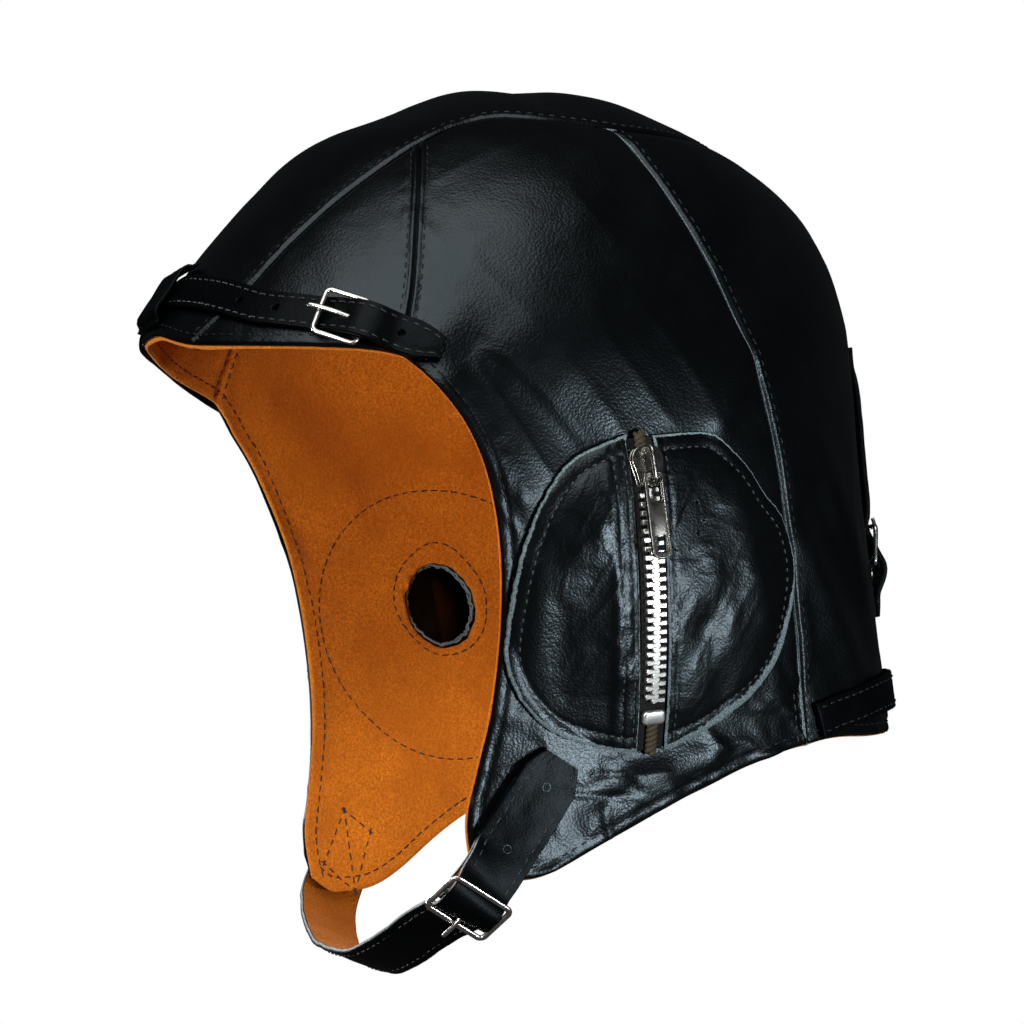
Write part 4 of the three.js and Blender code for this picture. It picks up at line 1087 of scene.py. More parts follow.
# A shared group of number sockets: build gives the outputs from the inputs and the place on the part
def sharedGroup(name, inputs, build):
    group = bpy.data.node_groups.new(name, "ShaderNodeTree")
    for socket, value in inputs.items():
        made = group.interface.new_socket(socket, in_out="INPUT", socket_type="NodeSocketFloat")
        made.default_value = value
    add = linker(group)
    where = add("TexCoord").outputs["Object"]
    results = build(add, group.nodes.new("NodeGroupInput").outputs, where)
    for socket in results:
        group.interface.new_socket(socket, in_out="OUTPUT", socket_type="NodeSocketFloat")
    feed(group, group.nodes.new("NodeGroupOutput"), results)
    return group


def noise(add, where, scale, detail=2, roughness=0.5, distortion=0.0):
    given = {"Vector": where, "Scale": scale, "Detail": detail}
    given |= {"Roughness": roughness, "Distortion": distortion}
    return add("TexNoise", given).outputs["Fac"]


def sums(add, operation, *values):
    return add("Math", dict(enumerate(values)), operation=operation).outputs[0]


def ranged(add, value, low, high, first=0, last=1):
    given = {"Value": value, "From Min": low, "From Max": high, "To Min": first, "To Max": last}
    return add("MapRange", given).outputs[0]


# Mixes two colours, each a link or three numbers
def mixed(add, mask, *colors):
    first, second = [color + (1,) if isinstance(color, tuple) else color for color in colors]
    return add("Mix", {"Factor": mask, 6: first, 7: second}, data_type="RGBA").outputs[2]


# Grain of tumbled leather: rounded pebbles, finer pits, short creases and a mask of wear
def pebbleNodes(add, given, where):
    wander = add("TexNoise", {"Vector": where, "Scale": 320, "Detail": 2}).outputs["Color"]
    bent = add("VectorMath", {0: wander, 1: (0.0012,) * 3}, operation="MULTIPLY").outputs[0]
    spot = add("VectorMath", {0: where, 1: bent}, operation="ADD").outputs[0]
    cellInputs = {"Vector": spot, "Scale": given["Pebble"], "Smoothness": 0.55}
    cells = add("TexVoronoi", cellInputs, feature="SMOOTH_F1").outputs["Distance"]
    pebble = ranged(add, cells, 0.15, 0.75, 1, 0)
    ridge = sums(add, "SUBTRACT", noise(add, spot, 420, 5, 0.62, 0.6), 0.5)
    crease = ranged(add, sums(add, "ABSOLUTE", ridge), 0, 0.07, -1, 0)
    deep = sums(add, "MULTIPLY", crease, given["Creases"])
    fine = sums(add, "MULTIPLY_ADD", noise(add, where, 2600, 3), 0.35, deep)
    worn = ranged(add, noise(add, where, 34, 4, 0.65), 0.42, 0.68)
    return {"Height": sums(add, "MULTIPLY_ADD", pebble, 0.8, fine), "Worn": worn}


# Pale, fibrous raw edge within Width millimetres of a piece's rim
def cutEdgeNodes(add, given, where):
    rim = add("Attribute", attribute_name="rim").outputs["Fac"]
    both = sums(add, "ADD", noise(add, where, 900, 3), noise(add, where, 60))
    shift = sums(add, "SUBTRACT", both, 1)
    moved = sums(add, "MULTIPLY_ADD", shift, given["Ragged"], rim)
    soft = sums(add, "MULTIPLY", given["Width"], 0.75)
    strands = ranged(add, noise(add, where, 2200, 4, 0.7), 0.36, 0.62)
    return {"Mask": ranged(add, moved, soft, given["Width"], 1, 0), "Fibre": strands}


# Suede: soft blotches, partly the nap lying another way and partly painted shade of the lining's folds, and
# short fibres
def napAndShadeNodes(add, given, where):
    fibre = noise(add, where, given["Fibre"], 4, 0.7)
    height = sums(add, "MULTIPLY_ADD", noise(add, where, 420, 3, 0.6), 0.7, fibre)
    blotchAndShade = ranged(add, noise(add, where, 26, 5, 0.6, 0.4), 0.34, 0.66)
    return {"Height": height, "Brushed": blotchAndShade, "Fleck": ranged(add, fibre, 0.38, 0.66)}


# Hairline scratches and dull patches of handled metal
def scratchNodes(add, given, where):
    sized = add("VectorMath", {0: where, "Scale": given["Scale"]}, operation="SCALE").outputs[0]
    long = add("Mapping", {"Vector": sized, "Rotation": (0.4, 0.2, 0.7), "Scale": (1, 14, 3)}).outputs[0]
    dull = ranged(add, noise(add, sized, 330, 4, 0.6), 0.4, 0.7)
    return {"Height": noise(add, long, 260, 3), "Dull": dull}


pebbleGrain = sharedGroup("pebbleGrain", {"Pebble": 1000, "Creases": 0.5}, pebbleNodes)
cutEdge = sharedGroup("cutEdge", {"Width": 1.2, "Ragged": 0.6}, cutEdgeNodes)
suedeNap = sharedGroup("suedeNap", {"Fibre": 1500}, napAndShadeNodes)
handledMetal = sharedGroup("handledMetal", {"Scale": 1}, scratchNodes)


# A new material: the maker of its nodes, and what sets its surface with a bump from a height
def newMaterial(name):
    material = bpy.data.materials.new(name)
    material.use_nodes = True
    tree = material.node_tree
    add = linker(tree)

    def finish(inputs, height, strength, distance):
        bump = add("Bump", {"Height": height, "Strength": strength, "Distance": distance})
        feed(tree, tree.nodes["Principled BSDF"], inputs | {"Normal": bump.outputs[0]})
        return material

    return add, finish


# Black leather: pebble grain, handled sheen and, where a piece has one, a pale cut edge
def leatherFinish(name, look):
    add, finish = newMaterial(name)
    given = {"Pebble": look["pebble"], "Creases": look["creases"]}
    grain = add("Group", given, node_tree=pebbleGrain).outputs
    worn = tuple(c * look["fade"] for c in look["color"])
    color = mixed(add, grain["Worn"], look["color"], worn)
    rough = ranged(add, grain["Worn"], 0, 1, *look["roughness"])
    if "edge" in look:
        given = {"Width": look["edge"], "Ragged": look["ragged"]}
        edge = add("Group", given, node_tree=cutEdge).outputs
        pale = mixed(add, edge["Fibre"], look["edgeDark"], look["edgeColor"])
        color = mixed(add, edge["Mask"], color, pale)
        frayed = {"Factor": edge["Mask"], 2: rough, 3: 0.85}
        rough = add("Mix", frayed, data_type="FLOAT").outputs[0]
    inputs = {"Base Color": color, "Roughness": rough, "IOR": 1.5}
    inputs |= {"Specular IOR Level": look["shine"], "Specular Tint": (0.72, 0.9, 1, 1)}
    inputs |= {"Coat Weight": look["coat"], "Coat Roughness": 0.3}
    return finish(inputs, grain["Height"], look["bump"], 0.00025)


def suedeFinish(name, light, dark, deep):
    add, finish = newMaterial(name)
    nap = add("Group", node_tree=suedeNap).outputs
    # The blotches between light and dark are partly the nap's own tone and partly painted shade of folds
    base = mixed(add, nap["Brushed"], dark, light)
    inputs = {
        "Base Color": mixed(add, nap["Fleck"], deep, base),
        "Roughness": 0.95,
        "Specular IOR Level": 0.15,
        "Sheen Weight": 0.25,
        "Sheen Roughness": 0.5,
        "Sheen Tint": (1, 0.55, 0.2, 1),
    }
    return finish(inputs, nap["Height"], 0.7, 0.0004)


def metalFinish(name, bright, dull, roughness):
    add, finish = newMaterial(name)
    wear = add("Group", node_tree=handledMetal).outputs
    inputs = {
        "Base Color": mixed(add, wear["Dull"], bright, dull),
        "Roughness": ranged(add, wear["Dull"], 0, 1, *roughness),
        "Metallic": 1,
    }
    return finish(inputs, wear["Height"], 0.25, 0.0001)


def threadFinish(name, color, roughness=0.6):
    add, finish = newMaterial(name)
    twist = noise(add, add("TexCoord").outputs["Object"], 3500)
    pale = tuple(min(1, c * 1.8) for c in color)
    inputs = {"Base Color": mixed(add, twist, color, pale), "Roughness": roughness}
    return finish(inputs, twist, 0.4, 0.0002)


def tapeFinish(name, color, warp):
    add, finish = newMaterial(name)
    where = add("TexCoord").outputs["Object"]
    ribs = add("TexWave", {"Vector": where, "Scale": 520, "Distortion": 1.2}, bands_direction="Z")
    weave = add("TexWave", {"Vector": where, "Scale": 480, "Distortion": 1.2}, bands_direction="Y")
    cloth = sums(add, "MULTIPLY", ribs.outputs["Fac"], weave.outputs["Fac"])
    return finish({"Base Color": mixed(add, cloth, color, warp), "Roughness": 0.9}, cloth, 0.6, 0.0002)


blackLeather = {
    "color": (0.0011, 0.0015, 0.0017), "roughness": (0.29, 0.37),
    "creases": 0.12, "pebble": 1350, "bump": 0.22,
    "fade": 1.7, "shine": 0.5, "coat": 0.06,
}
paleCut = {"edgeColor": (0.46, 0.6, 0.64), "edgeDark": (0.08, 0.12, 0.13)}
strapLeather = blackLeather | {
    "creases": 0.2, "pebble": 1700, "bump": 0.16,
    "roughness": (0.38, 0.5), "coat": 0.01, "shine": 0.13,
}
finishes = {
    "panel": leatherFinish("black_leather", blackLeather | {"edge": 0.13, "ragged": 0.1} | paleCut),
    "patch": leatherFinish("patch_leather", blackLeather | {"edge": 0.95, "ragged": 0.9} | paleCut),
    "strap": leatherFinish("strap_leather", strapLeather),
    "strapEdge": leatherFinish("strap_edge", strapLeather | {"edge": 0.9, "ragged": 0.8} | paleCut),
    # Tan suede: light tone, a darker blotch tone that partly paints fold shade, and the fibre flecks
    "suede": suedeFinish("tan_suede", (0.92, 0.285, 0.018), (0.55, 0.14, 0.007), (0.46, 0.11, 0.005)),
    "chrome": metalFinish("buckle_chrome", (0.86, 0.85, 0.82), (0.6, 0.59, 0.56), (0.2, 0.36)),
    "zipMetal": metalFinish("zip_nickel", (0.86, 0.87, 0.86), (0.56, 0.56, 0.54), (0.36, 0.5)),
    "sliderMetal": metalFinish("slider_nickel", (0.4, 0.4, 0.37), (0.2, 0.195, 0.18), (0.2, 0.38)),
    "pullerMetal": metalFinish("puller_nickel", (0.24, 0.235, 0.22), (0.12, 0.115, 0.105), (0.24, 0.42)),
    "blackThread": threadFinish("black_thread", (0.009, 0.01, 0.012), 0.45),
    "greyThread": threadFinish("grey_thread", (0.06, 0.075, 0.085), 0.6),
    "liningThread": threadFinish("lining_thread", (0.012, 0.01, 0.008)),
    "tape": tapeFinish("zip_tape", (0.008, 0.008, 0.009), (0.03, 0.03, 0.032)),
    "frayed": threadFinish("frayed_edge", (0.1, 0.13, 0.14), 0.9),
    "cord": threadFinish("cord_ends", (0.035, 0.028, 0.014), 0.8),
}
print("finishes made")

# Panels


def nearestOf(points, targets, cap):
    tree = KDTree(len(targets))
    for number, target in enumerate(targets):
        tree.insert(target, number)
    tree.balance()
    return np.array([min(tree.find(point)[2], cap) for point in points])


# Welds points that meet and drops faces without area
def tidyMesh(piece):
    shape = bmesh.new()
    shape.from_mesh(piece.data)
    bmesh.ops.remove_doubles(shape, verts=shape.verts, dist=2e-6)
    bmesh.ops.dissolve_degenerate(shape, dist=1e-6, edges=shape.edges)
    shape.to_mesh(piece.data)
    shape.free()
    piece.data.shade_smooth()


def settled(piece, slot, *nodes, body="helmet"):
    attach(piece, body)
    if nodes:
        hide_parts(*nodes)
    return piece


# A sheet between upper and lower points, its rim closed
def addSheet(name, upper, lower, faces, finish, slot, node, layers=None):
    faces = wallFaces(faces, len(upper))
    piece = meshOf(name, np.vstack([upper, lower]), faces, [finishes[finish]], layers=layers)
    tidyMesh(piece)
    return settled(piece, slot, node)


def addPanel(name, net, panel, node, side=1, holed=False):
    spots = net if side > 0 else mirrored(net)
    worn = asWorn(spots.reshape(-1, 2))
    upper, out = leatherAt(worn, panel)
    lower = shellAt(worn)[0] - out * shell["leather"]
    faces = gridFaces(*spots.shape[:2])
    if holed:
        upper, kept = withHole(upper, faces, side, 0, earHole["fray"])
        lower = withHole(lower, faces, side, 0, earHole["fray"])[0]
        faces = kept
    faces = faces[longEnough(upper, faces)]
    faces = facingUp(upper, faces, out)
    upper = pulledIn(upper, faces, shell["seamInset"])
    lower = pulledIn(lower, faces, shell["seamInset"])
    rim = np.unique(np.concatenate(rimOf(faces)))
    near = nearestOf(upper, upper[rim], 8)
    upper = upper - out * (0.5 * bell(near / 0.5))[:, None]  # the edge rolls over
    rearward = distanceTo(leftSide(upper), seamPaths["rear"]) < 2.5
    pale = np.where(rearward, near, 8)
    under = np.where(rearward, 0, 8)
    layers = {"rim": np.concatenate([pale, under])}
    return addSheet(name, upper, lower, faces, "panel", "black_leather", node, layers)


# Frayed fibres of the leather's cut edge round each ear hole, seen from inside: growth, depth, radius
holeStrands = [(0.1, 1.5, 0.34), (-0.25, 1.1, 0.26)]


def addHoleFray(sideName, side):
    angle = np.linspace(0, 2 * np.pi, 260, endpoint=False)
    strands = []
    for number, (growth, depth, radius) in enumerate(holeStrands):
        ring = np.stack([np.cos(angle), np.sin(angle), np.full_like(angle, number)], -1) * 10
        reach = holeRadius(angle, growth, earHole["fray"]) + 0.4 * noiseAt(ring, 0.5, 23 + number)
        flat = np.stack([earHole["y"] + reach * np.cos(angle), earHole["z"] + reach * np.sin(angle)], -1)
        foot, out = shellAt(placeOnSide(side, flat[:, 0], flat[:, 1]))
        points = foot - out * (depth + 0.25 * noiseAt(ring, 0.8, 25 + number))[:, None]
        strands.append(sweepWire("strand", points, radius, finishes["frayed"], True, 6))
    settled(fused("ear_hole_fray_" + sideName, *strands), "black_leather")


# Quads that have not shrunk to a line where a net comes to a point
def longEnough(points, faces):
    corner = points[faces]
    sides = np.linalg.norm(corner - np.roll(corner, -1, 1), axis=2)
    return (sides < 1e-4).sum(1) < 2


addPanel("crown_band_leather", nets["band"], "band", "crown_band")
for sideName, side in (("left", 1), ("right", -1)):
    addPanel("temple_panel_leather_" + sideName, nets["temple"], "temple", "temple_panel_" + sideName, side)
    addPanel("side_panel_leather_" + sideName, nets["side"], "side", "side_panel_" + sideName, side, True)
addPanel("back_panel_leather", nets["back"], "back", "back_panel")
print("panels made")

# Lining: one suede sheet over the nets of all six panels, welded where they meet


lining = {"beyond": 0.3, "seamRidge": 0.35, "pucker": 0.22}


# Height of the lining's inner face over the leather's outer face: folds at seams, puckers beside them
def liningDepth(feet):
    leftward = leftSide(feet)
    depth = np.full(len(feet), -shell["leather"] - shell["gap"] - shell["lining"])
    depth += 0.3 * noiseAt(feet, 26, 41) + 0.12 * noiseAt(feet, 8, 42)
    for seam in ("temple", "band", "rear"):
        near = distanceTo(leftward, seamPaths[seam])
        depth += lining["seamRidge"] * bell(near / 1.1)
        depth -= lining["pucker"] * bell((near - 2.8) / 1.6) * (1 + noiseAt(feet, 4, 43))
    drape = feet * [1, 1, 0.4]
    depth += 0.55 * noiseAt(drape, 17, 44) + 0.16 * noiseAt(feet, 6, 45)
    return depth


# Place on the lining's inner face, and the way in from it
def liningAt(spots):
    foot, out = shellAt(spots)
    return foot + out * liningDepth(foot)[:, None], -out


def addLining():
    top = -shell["leather"] - shell["gap"]
    feet, outs, faces = [], [], []
    count = 0
    layout = [("band", 1), ("temple", 1), ("temple", -1), ("side", 1), ("side", -1), ("back", 1)]
    evenNets = liningNets()
    for name, side in layout:
        net = evenNets[name] if side > 0 else mirrored(evenNets[name])
        foot, out = shellAt(asWorn(net.reshape(-1, 2)))
        feet.append(foot)
        outs.append(out)
        faces.append(gridFaces(*net.shape[:2]) + count)
        count += len(foot)
    feet, outs, faces = np.vstack(feet), np.vstack(outs), np.vstack(faces)
    places = np.round(feet * 40).astype(np.int64)
    _, first, numbers = np.unique(places, axis=0, return_index=True, return_inverse=True)
    feet, outs, faces = feet[first], outs[first], numbers.reshape(-1)[faces]
    faces = faces[longEnough(feet, faces)]
    faces = facingUp(feet, faces, outs)
    upper = pulledIn(feet + outs * top, faces, -lining["beyond"])
    lower = pulledIn(feet + outs * liningDepth(feet)[:, None], faces, -lining["beyond"])
    for side in (1, -1):
        size = (side, earHole["liningGrowth"], earHole["liningFray"])
        upper, kept = withHole(upper, faces, *size)
        lower = withHole(lower, faces, *size)[0]
        faces = kept
    return addSheet("suede_lining", upper, lower, faces, "suede", "suede_lining", "lining")


def liningNets():
    templeDown, cheekDown = np.linspace(0, 1, 41), np.linspace(0, 1, 81)[1:]
    sideOver, backOver = np.linspace(0, 1, 65), np.linspace(0, 1, 51)
    bandOver, templeOver = np.linspace(0, 1, 41), np.linspace(0, 1, 29)
    seamAtTemple = stretch(bandSeam, 0, bandTempleEnd, templeDown)
    seamAtSide = stretch(bandSeam, bandTempleEnd, bandSideEnd, sideOver)
    seamAtBack = stretch(bandSeam, bandSideEnd, len(bandSeam) - 1, backOver)
    band = bandNet(np.vstack([seamAtTemple, seamAtSide[1:], seamAtBack[1:]]), bandOver)
    temple = templeNet(seamAtTemple, templeDown, templeOver)
    down = np.concatenate([templeDown * 0.4, 0.4 + cheekDown * 0.6])
    side = sideNet(seamAtSide, templeDown, cheekDown, sideOver)
    rear = wholeLine(rearSeam, down)
    back = backNet(rear, seamAtBack, down, backOver)
    return {"band": band, "temple": temple, "side": side, "back": back}


addLining()
for sideName, side in (("left", 1), ("right", -1)):
    addHoleFray(sideName, side)
print("lining made")

# Ear patches: two halves a side, standing off the side panel, with raw edges

patchLook = {
    "rows": 150, "columns": 54, "fray": 0.55, "stitchInset": 4,
    "doubling": 7.4, "beside": (1.5, 4.6),
}


# Flat net of one half, from the zip's slot out to the rim
def patchNet(rim, edge, rows, columns):
    ends = zipSpots([0.005, 0.995], [edge, edge])
    outline = np.vstack([ends[:1], patchSpots(rim), ends[1:]])
    line = throughPoints(outline, np.linspace(0, 1, 400))
    reach = walkedTo(line)
    down = np.linspace(0, 1, rows + 1)
    outer = np.stack([np.interp(down * reach[-1], reach, line[:, k]) for k in range(2)], -1)
    slot = zipSpots(0.005 + 0.99 * down, np.full(rows + 1, edge))
    over = np.linspace(0, 1, columns + 1)
    over = np.unique(np.concatenate([over, [0.008, 0.018, 0.982, 0.992]]))[None, :, None]
    return slot[:, None] * (1 - over) + outer[:, None] * over


# Height of the patch's outer face over its smooth stand-off
def patchRelief(flat, fromRim, fromSlot, front):
    point = np.concatenate([np.zeros(flat.shape[:-1] + (1,)), flat], -1)
    shares = (flat - patch["centre"]) / patch["half"]
    inside = np.clip(1.15 - (shares**2).sum(-1), 0, 1)
    aslant = np.stack([point[..., 0], 0.9 * flat[..., 0] - 0.44 * flat[..., 1],
                       0.3 * (0.44 * flat[..., 0] + 0.9 * flat[..., 1])], -1)
    relief = 2.1 * inside * noiseAt(aslant, 14, 51) + 0.1 * noiseAt(point, 5, 52)
    relief += 0.22 * inside * (ridgesAt(aslant, 4, 53) - 0.35)
    relief += 0.12 * inside * (ridgesAt(point * [1, 0.8, 1.1], 4, 54) - 0.35)
    relief -= 0.15 * bell((fromRim - patchLook["stitchInset"]) / 0.7)
    relief += 0.12 * bell((fromRim - 2) / 1.2)
    if front:
        strip = fading((fromSlot - patchLook["doubling"]) * 2.5)
        relief += 0.4 * strip
        for inset in patchLook["beside"]:
            relief -= 0.22 * bell((fromSlot - inset) / 0.5)
    else:
        relief -= 0.2 * bell((fromSlot - 2.6) / 0.6)
    return relief


def addPatchHalf(sideName, side, half, edge):
    flat = patchNet(patch[half], edge, patchLook["rows"], patchLook["columns"])
    rows, columns = flat.shape[:2]
    outer = flat[:, -1]
    inward = unit(flat[:, -2] - outer)
    rough = np.concatenate([np.zeros((rows, 1)), outer], -1)
    fray = patchLook["fray"] * (0.35 * noiseAt(rough, 4.5, 55) + 0.5 * noiseAt(rough, 0.9, 56))
    fade = (np.linspace(0, 1, columns) > 0.94)[None, :, None]
    flat = flat + fade * (inward * np.maximum(fray + 0.2, -0.3)[:, None])[:, None]
    spots = flat.reshape(-1, 2)
    rim = flat[:, -1]
    slot = flat[:, 0]
    fromRim = distanceTo(spots, rim)
    fromSlot = distanceTo(spots, slot)
    foot, out = shellAt(placeOnSide(side, spots[:, 0], spots[:, 1]))
    lift = patchLift(foot[:, 1:])
    relief = patchRelief(spots, fromRim, fromSlot, half == "front")
    ends = np.minimum(distanceTo(spots, flat[0]), distanceTo(spots, flat[-1]))
    near = np.minimum(np.minimum(fromRim, fromSlot), ends)
    relief -= 0.35 * bell(near / 0.45)
    curl = 0.35 * bell(fromRim / 2.2) * np.maximum(noiseAt(foot, 8, 57), 0)
    upper = foot + out * (shell["gap"] + patch["thick"] + lift + relief + curl)[:, None]
    lower = foot + out * (shell["gap"] + lift + curl)[:, None]
    faces = facingUp(upper, gridFaces(rows, columns), out)
    shares = (spots - patch["centre"]) / patch["half"]
    wide = 1 + 2.1 * np.clip((shares[:, 0] - 0.1) / 0.4, 0, 1) * np.clip((0.15 - shares[:, 1]) / 0.25, 0, 1)
    wide = wide * (0.55 + 0.45 * np.clip((0.5 - shares[:, 1]) / 0.5, 0, 1))
    slotWay = np.where(half == "rear", fromSlot / 0.75, fromSlot + 0.7)
    pale = np.minimum(np.minimum(fromRim / wide, slotWay), ends + 0.4)
    layers = {"rim": np.concatenate([pale, np.where(fromRim < 0.05, 0, 8)])}
    name, node = f"ear_patch_leather_{half}_{sideName}", f"ear_patch_{half}_{sideName}"
    return addSheet(name, upper, lower, faces, "patch", "black_leather", node, layers)


for sideName, side in (("left", 1), ("right", -1)):
    addPatchHalf(sideName, side, "front", -patch["slot"] / 2)
    addPatchHalf(sideName, side, "rear", patch["slot"] / 2)
print("ear patches made")

# Zips: tape, teeth that alternate, bottom stop, slider with its crown, and the puller

zipParts = {
    "tape": 0.6,
    "tapeClear": 0.35,
    "rest": 0.15,
    "depth": 1.6,
    "pitch": 2.36,
    "slider": (10.5, 9.4, 2.6),
    "sliderAt": 0.095,
    "stopAt": 0.885,
    "stop": 3.6,
    "crown": {"clear": 2.3, "thick": 1.3, "width": 2.1, "reach": 4.6},
    "puller": {"length": 22.5, "width": 5.8, "thick": 1.2, "bar": 0.65, "window": 3.5, "ring": 7.2},
    "pivot": (2.7, 1.15),
}
tapeTop = shell["gap"] + zipParts["tape"]
metalFloor = tapeTop + zipParts["rest"]
sliderFloor = shell["gap"] + patch["thick"] + 2 * zipParts["rest"]


# Moves a mesh in millimetres into a station: x along, y across, z out
def putAt(shape, station):
    foot, along, out, across = station
    for vertex in shape.verts:
        x, y, z = vertex.co
        vertex.co = Vector((foot + along * x + across * y + out * z) * mm)


def pieceOf(shape, name, material):
    mesh = bpy.data.meshes.new(name)
    bmesh.ops.recalc_face_normals(shape, faces=shape.faces)
    shape.to_mesh(mesh)
    shape.free()
    mesh.materials.append(material)
    mesh.shade_smooth()
    mesh.set_sharp_from_angle(angle=math.radians(40))
    return placed(name, mesh)


# A flat plate with round edges from an outline in millimetres, with holes cut through as inner outlines
def plate(outline, low, high, bevel, holes=(), steps=3):
    shape = bmesh.new()
    loops = [outline] + list(holes)
    edges = []
    for loop in loops:
        points = [shape.verts.new((x, y, low)) for x, y in loop]
        edges += [shape.edges.new((points[k - 1], points[k])) for k in range(len(points))]
    filled = bmesh.ops.triangle_fill(shape, use_beauty=True, use_dissolve=False, edges=edges)
    faces = [face for face in filled["geom"] if isinstance(face, bmesh.types.BMFace)]
    raised = bmesh.ops.extrude_face_region(shape, geom=faces)
    tops = [item for item in raised["geom"] if isinstance(item, bmesh.types.BMVert)]
    bmesh.ops.translate(shape, verts=tops, vec=(0, 0, high - low))
    bmesh.ops.recalc_face_normals(shape, faces=shape.faces)
    sharp = [edge for edge in shape.edges if len(edge.link_faces) == 2 and edge.calc_face_angle() > 1]
    bmesh.ops.bevel(shape, geom=sharp, offset=bevel, segments=steps, profile=0.5, affect="EDGES")
    return shape


def arcPoints(x, y, radiusX, radiusY, start, end, count=8):
    turns = np.radians(np.linspace(start, end, count))
    return [(x + radiusX * math.cos(t), y + radiusY * math.sin(t)) for t in turns]


def roundedOutline(left, right, half, corner):
    points = arcPoints(right - corner, half - corner, corner, corner, 0, 90)
    points += arcPoints(left + corner, half - corner, corner, corner, 90, 180)
    points += arcPoints(left + corner, -half + corner, corner, corner, 180, 270)
    points += arcPoints(right - corner, -half + corner, corner, corner, 270, 360)
    return points


def merged(*shapes):
    whole = shapes[0]
    for shape in shapes[1:]:
        scrap = bpy.data.meshes.new("scrap")
        shape.to_mesh(scrap)
        shape.free()
        whole.from_mesh(scrap)
        bpy.data.meshes.remove(scrap)
    return whole


# One tooth, its hooked head over the chain's middle and its foot out on the tape
def toothPiece():
    half = 0.66
    outline = [
        (-half, 2.9), (-half, 1.5), (-half * 0.72, 0.7),
        (-half * 1.12, 0.1), (-half * 1.1, -0.75), (-half * 0.5, -1.05),
        (half * 0.5, -1.05), (half * 1.1, -0.75), (half * 1.12, 0.1),
        (half * 0.72, 0.7), (half, 1.5), (half, 2.9),
    ]
    shape = plate(outline, 0, zipParts["depth"], 0.16, steps=1)
    for vertex in shape.verts:
        vertex.co = Vector(vertex.co) * mm
    return pieceOf(shape, "toothPattern", finishes["zipMetal"])


def sliderShield():
    length, width, thick = zipParts["slider"]
    half, wide = length / 2, width / 2
    curve = [(half, wide * 0.74), (half * 0.4, wide * 0.84), (-half * 0.3, wide)]
    curve += [
        (-half * 0.3 - half * 0.7 * math.sin(t), wide * (0.42 + 0.58 * math.cos(t)))
        for t in np.linspace(0.2, 1.57, 8)
    ]
    outline = curve + [(x, -y) for x, y in curve[::-1]]
    lower = plate(outline, sliderFloor, sliderFloor + 0.9, 0.25)
    upper = plate(outline, sliderFloor + 1.5, sliderFloor + thick, 0.3)
    inner = [(x * 0.8, y * 0.62) for x, y in outline]
    middle = plate(inner, sliderFloor + 0.5, sliderFloor + 2, 0.1, steps=1)
    return merged(upper, lower, middle)


# The crown: a bridge from end to end of the slider, with soft shoulders
def sliderCrown():
    crown = zipParts["crown"]
    roof = sliderFloor + zipParts["slider"][2]
    reach, high = crown["reach"], roof + crown["clear"] + crown["thick"] / 2
    side = [(-reach - 0.1, roof - 0.4), (-reach, high - 1.5)]
    side += [
        (-reach + 1.5 - 1.5 * math.cos(t), high - 1.5 + 1.5 * math.sin(t))
        for t in np.linspace(0.3, 1.57, 5)
    ]
    return np.array(side + [(0, high + 0.05)] + [(-x, z) for x, z in side[::-1]])


def addSlider(sideName, station):
    shield = sliderShield()
    putAt(shield, station)
    body = pieceOf(shield, "shield", finishes["sliderMetal"])
    foot, along, out, across = station
    line = sliderCrown()
    points = foot + along * line[:, :1] + out * line[:, 1:]
    points = throughStations(points, 40, False)
    bridge = sweepWire("bridge", points, 1.05, finishes["sliderMetal"], False, 14, tuple(across), 0.62)
    return fused("zip_slider_body_" + sideName, body, bridge)


# The puller lies in its own frame: x down its length from the pivot, y across, z out
def pullerFrame(station):
    foot, along, out, across = station
    lift = sliderFloor + zipParts["slider"][2] + zipParts["pivot"][1]
    at = foot + along * zipParts["pivot"][0] + out * lift
    down = np.array([0, 0, -1.0])
    down = unit(down - across * (down @ across))
    return at, down, np.cross(across, down), across


def addPuller(sideName, station):
    size = zipParts["puller"]
    half, length, thick = size["width"] / 2, size["length"], size["thick"] / 2
    outline = arcPoints(length - 1.6, 0, 1.6, half, -90, 90, 16)
    outline += arcPoints(0.8 - size["bar"], half - 0.8, 0.8, 0.8, 90, 180)
    outline += arcPoints(0.8 - size["bar"], 0.8 - half, 0.8, 0.8, 180, 270)
    windows = [
        roundedOutline(size["bar"], size["ring"], size["window"] / 2, 0.6)[::-1],
        roundedOutline(length - 6.2, length - 1.9, size["window"] / 2, 0.8)[::-1],
    ]
    shape = plate(outline, -thick * 0.62, thick * 0.62, 0.18, windows)
    inner = [(x * 0.946 + 0.515, y * 0.76) for x, y in outline]
    rimOuter = plate(outline, -thick, thick, 0.2, [inner[::-1]])
    whole = merged(shape, rimOuter)
    putAt(whole, pullerFrame(station))
    return pieceOf(whole, "zip_puller_plate_" + sideName, finishes["pullerMetal"])


# Two twisted cords where the tape's ends are turned under: they reach over the tape's first and last end
cordLook = {
    "radius": 0.75, "reach": 0.95, "rise": 0.55, "twist": 2.1,
    "length": 3.8, "pastStop": 2.2, "over": (1.2, 0.8),
}


def addCordEnds(sideName, route):
    stop = route.length * zipParts["stopAt"] + cordLook["pastStop"]
    spans = [(-cordLook["over"][0], cordLook["length"]), (stop, route.length + cordLook["over"][1])]
    cords = []
    for start, end in spans:
        for way in (1, -1):
            turns = np.linspace(0, 1, 40)
            foot, _, out, across = route.at(start + (end - start) * turns)
            wave = turns * (end - start) * cordLook["twist"] + way * 1.57
            aside = cordLook["reach"] * np.sin(wave)
            lift = tapeTop + cordLook["radius"] + cordLook["rise"] * np.cos(wave)
            points = foot + across * aside[:, None] + out * lift[:, None]
            radius = cordLook["radius"]
            cords.append(sweepWire("cord", points, radius, finishes["cord"], False, 10, (1, 0, 0)))
    settled(fused("zip_cord_ends_" + sideName, *cords), "zip_tape")


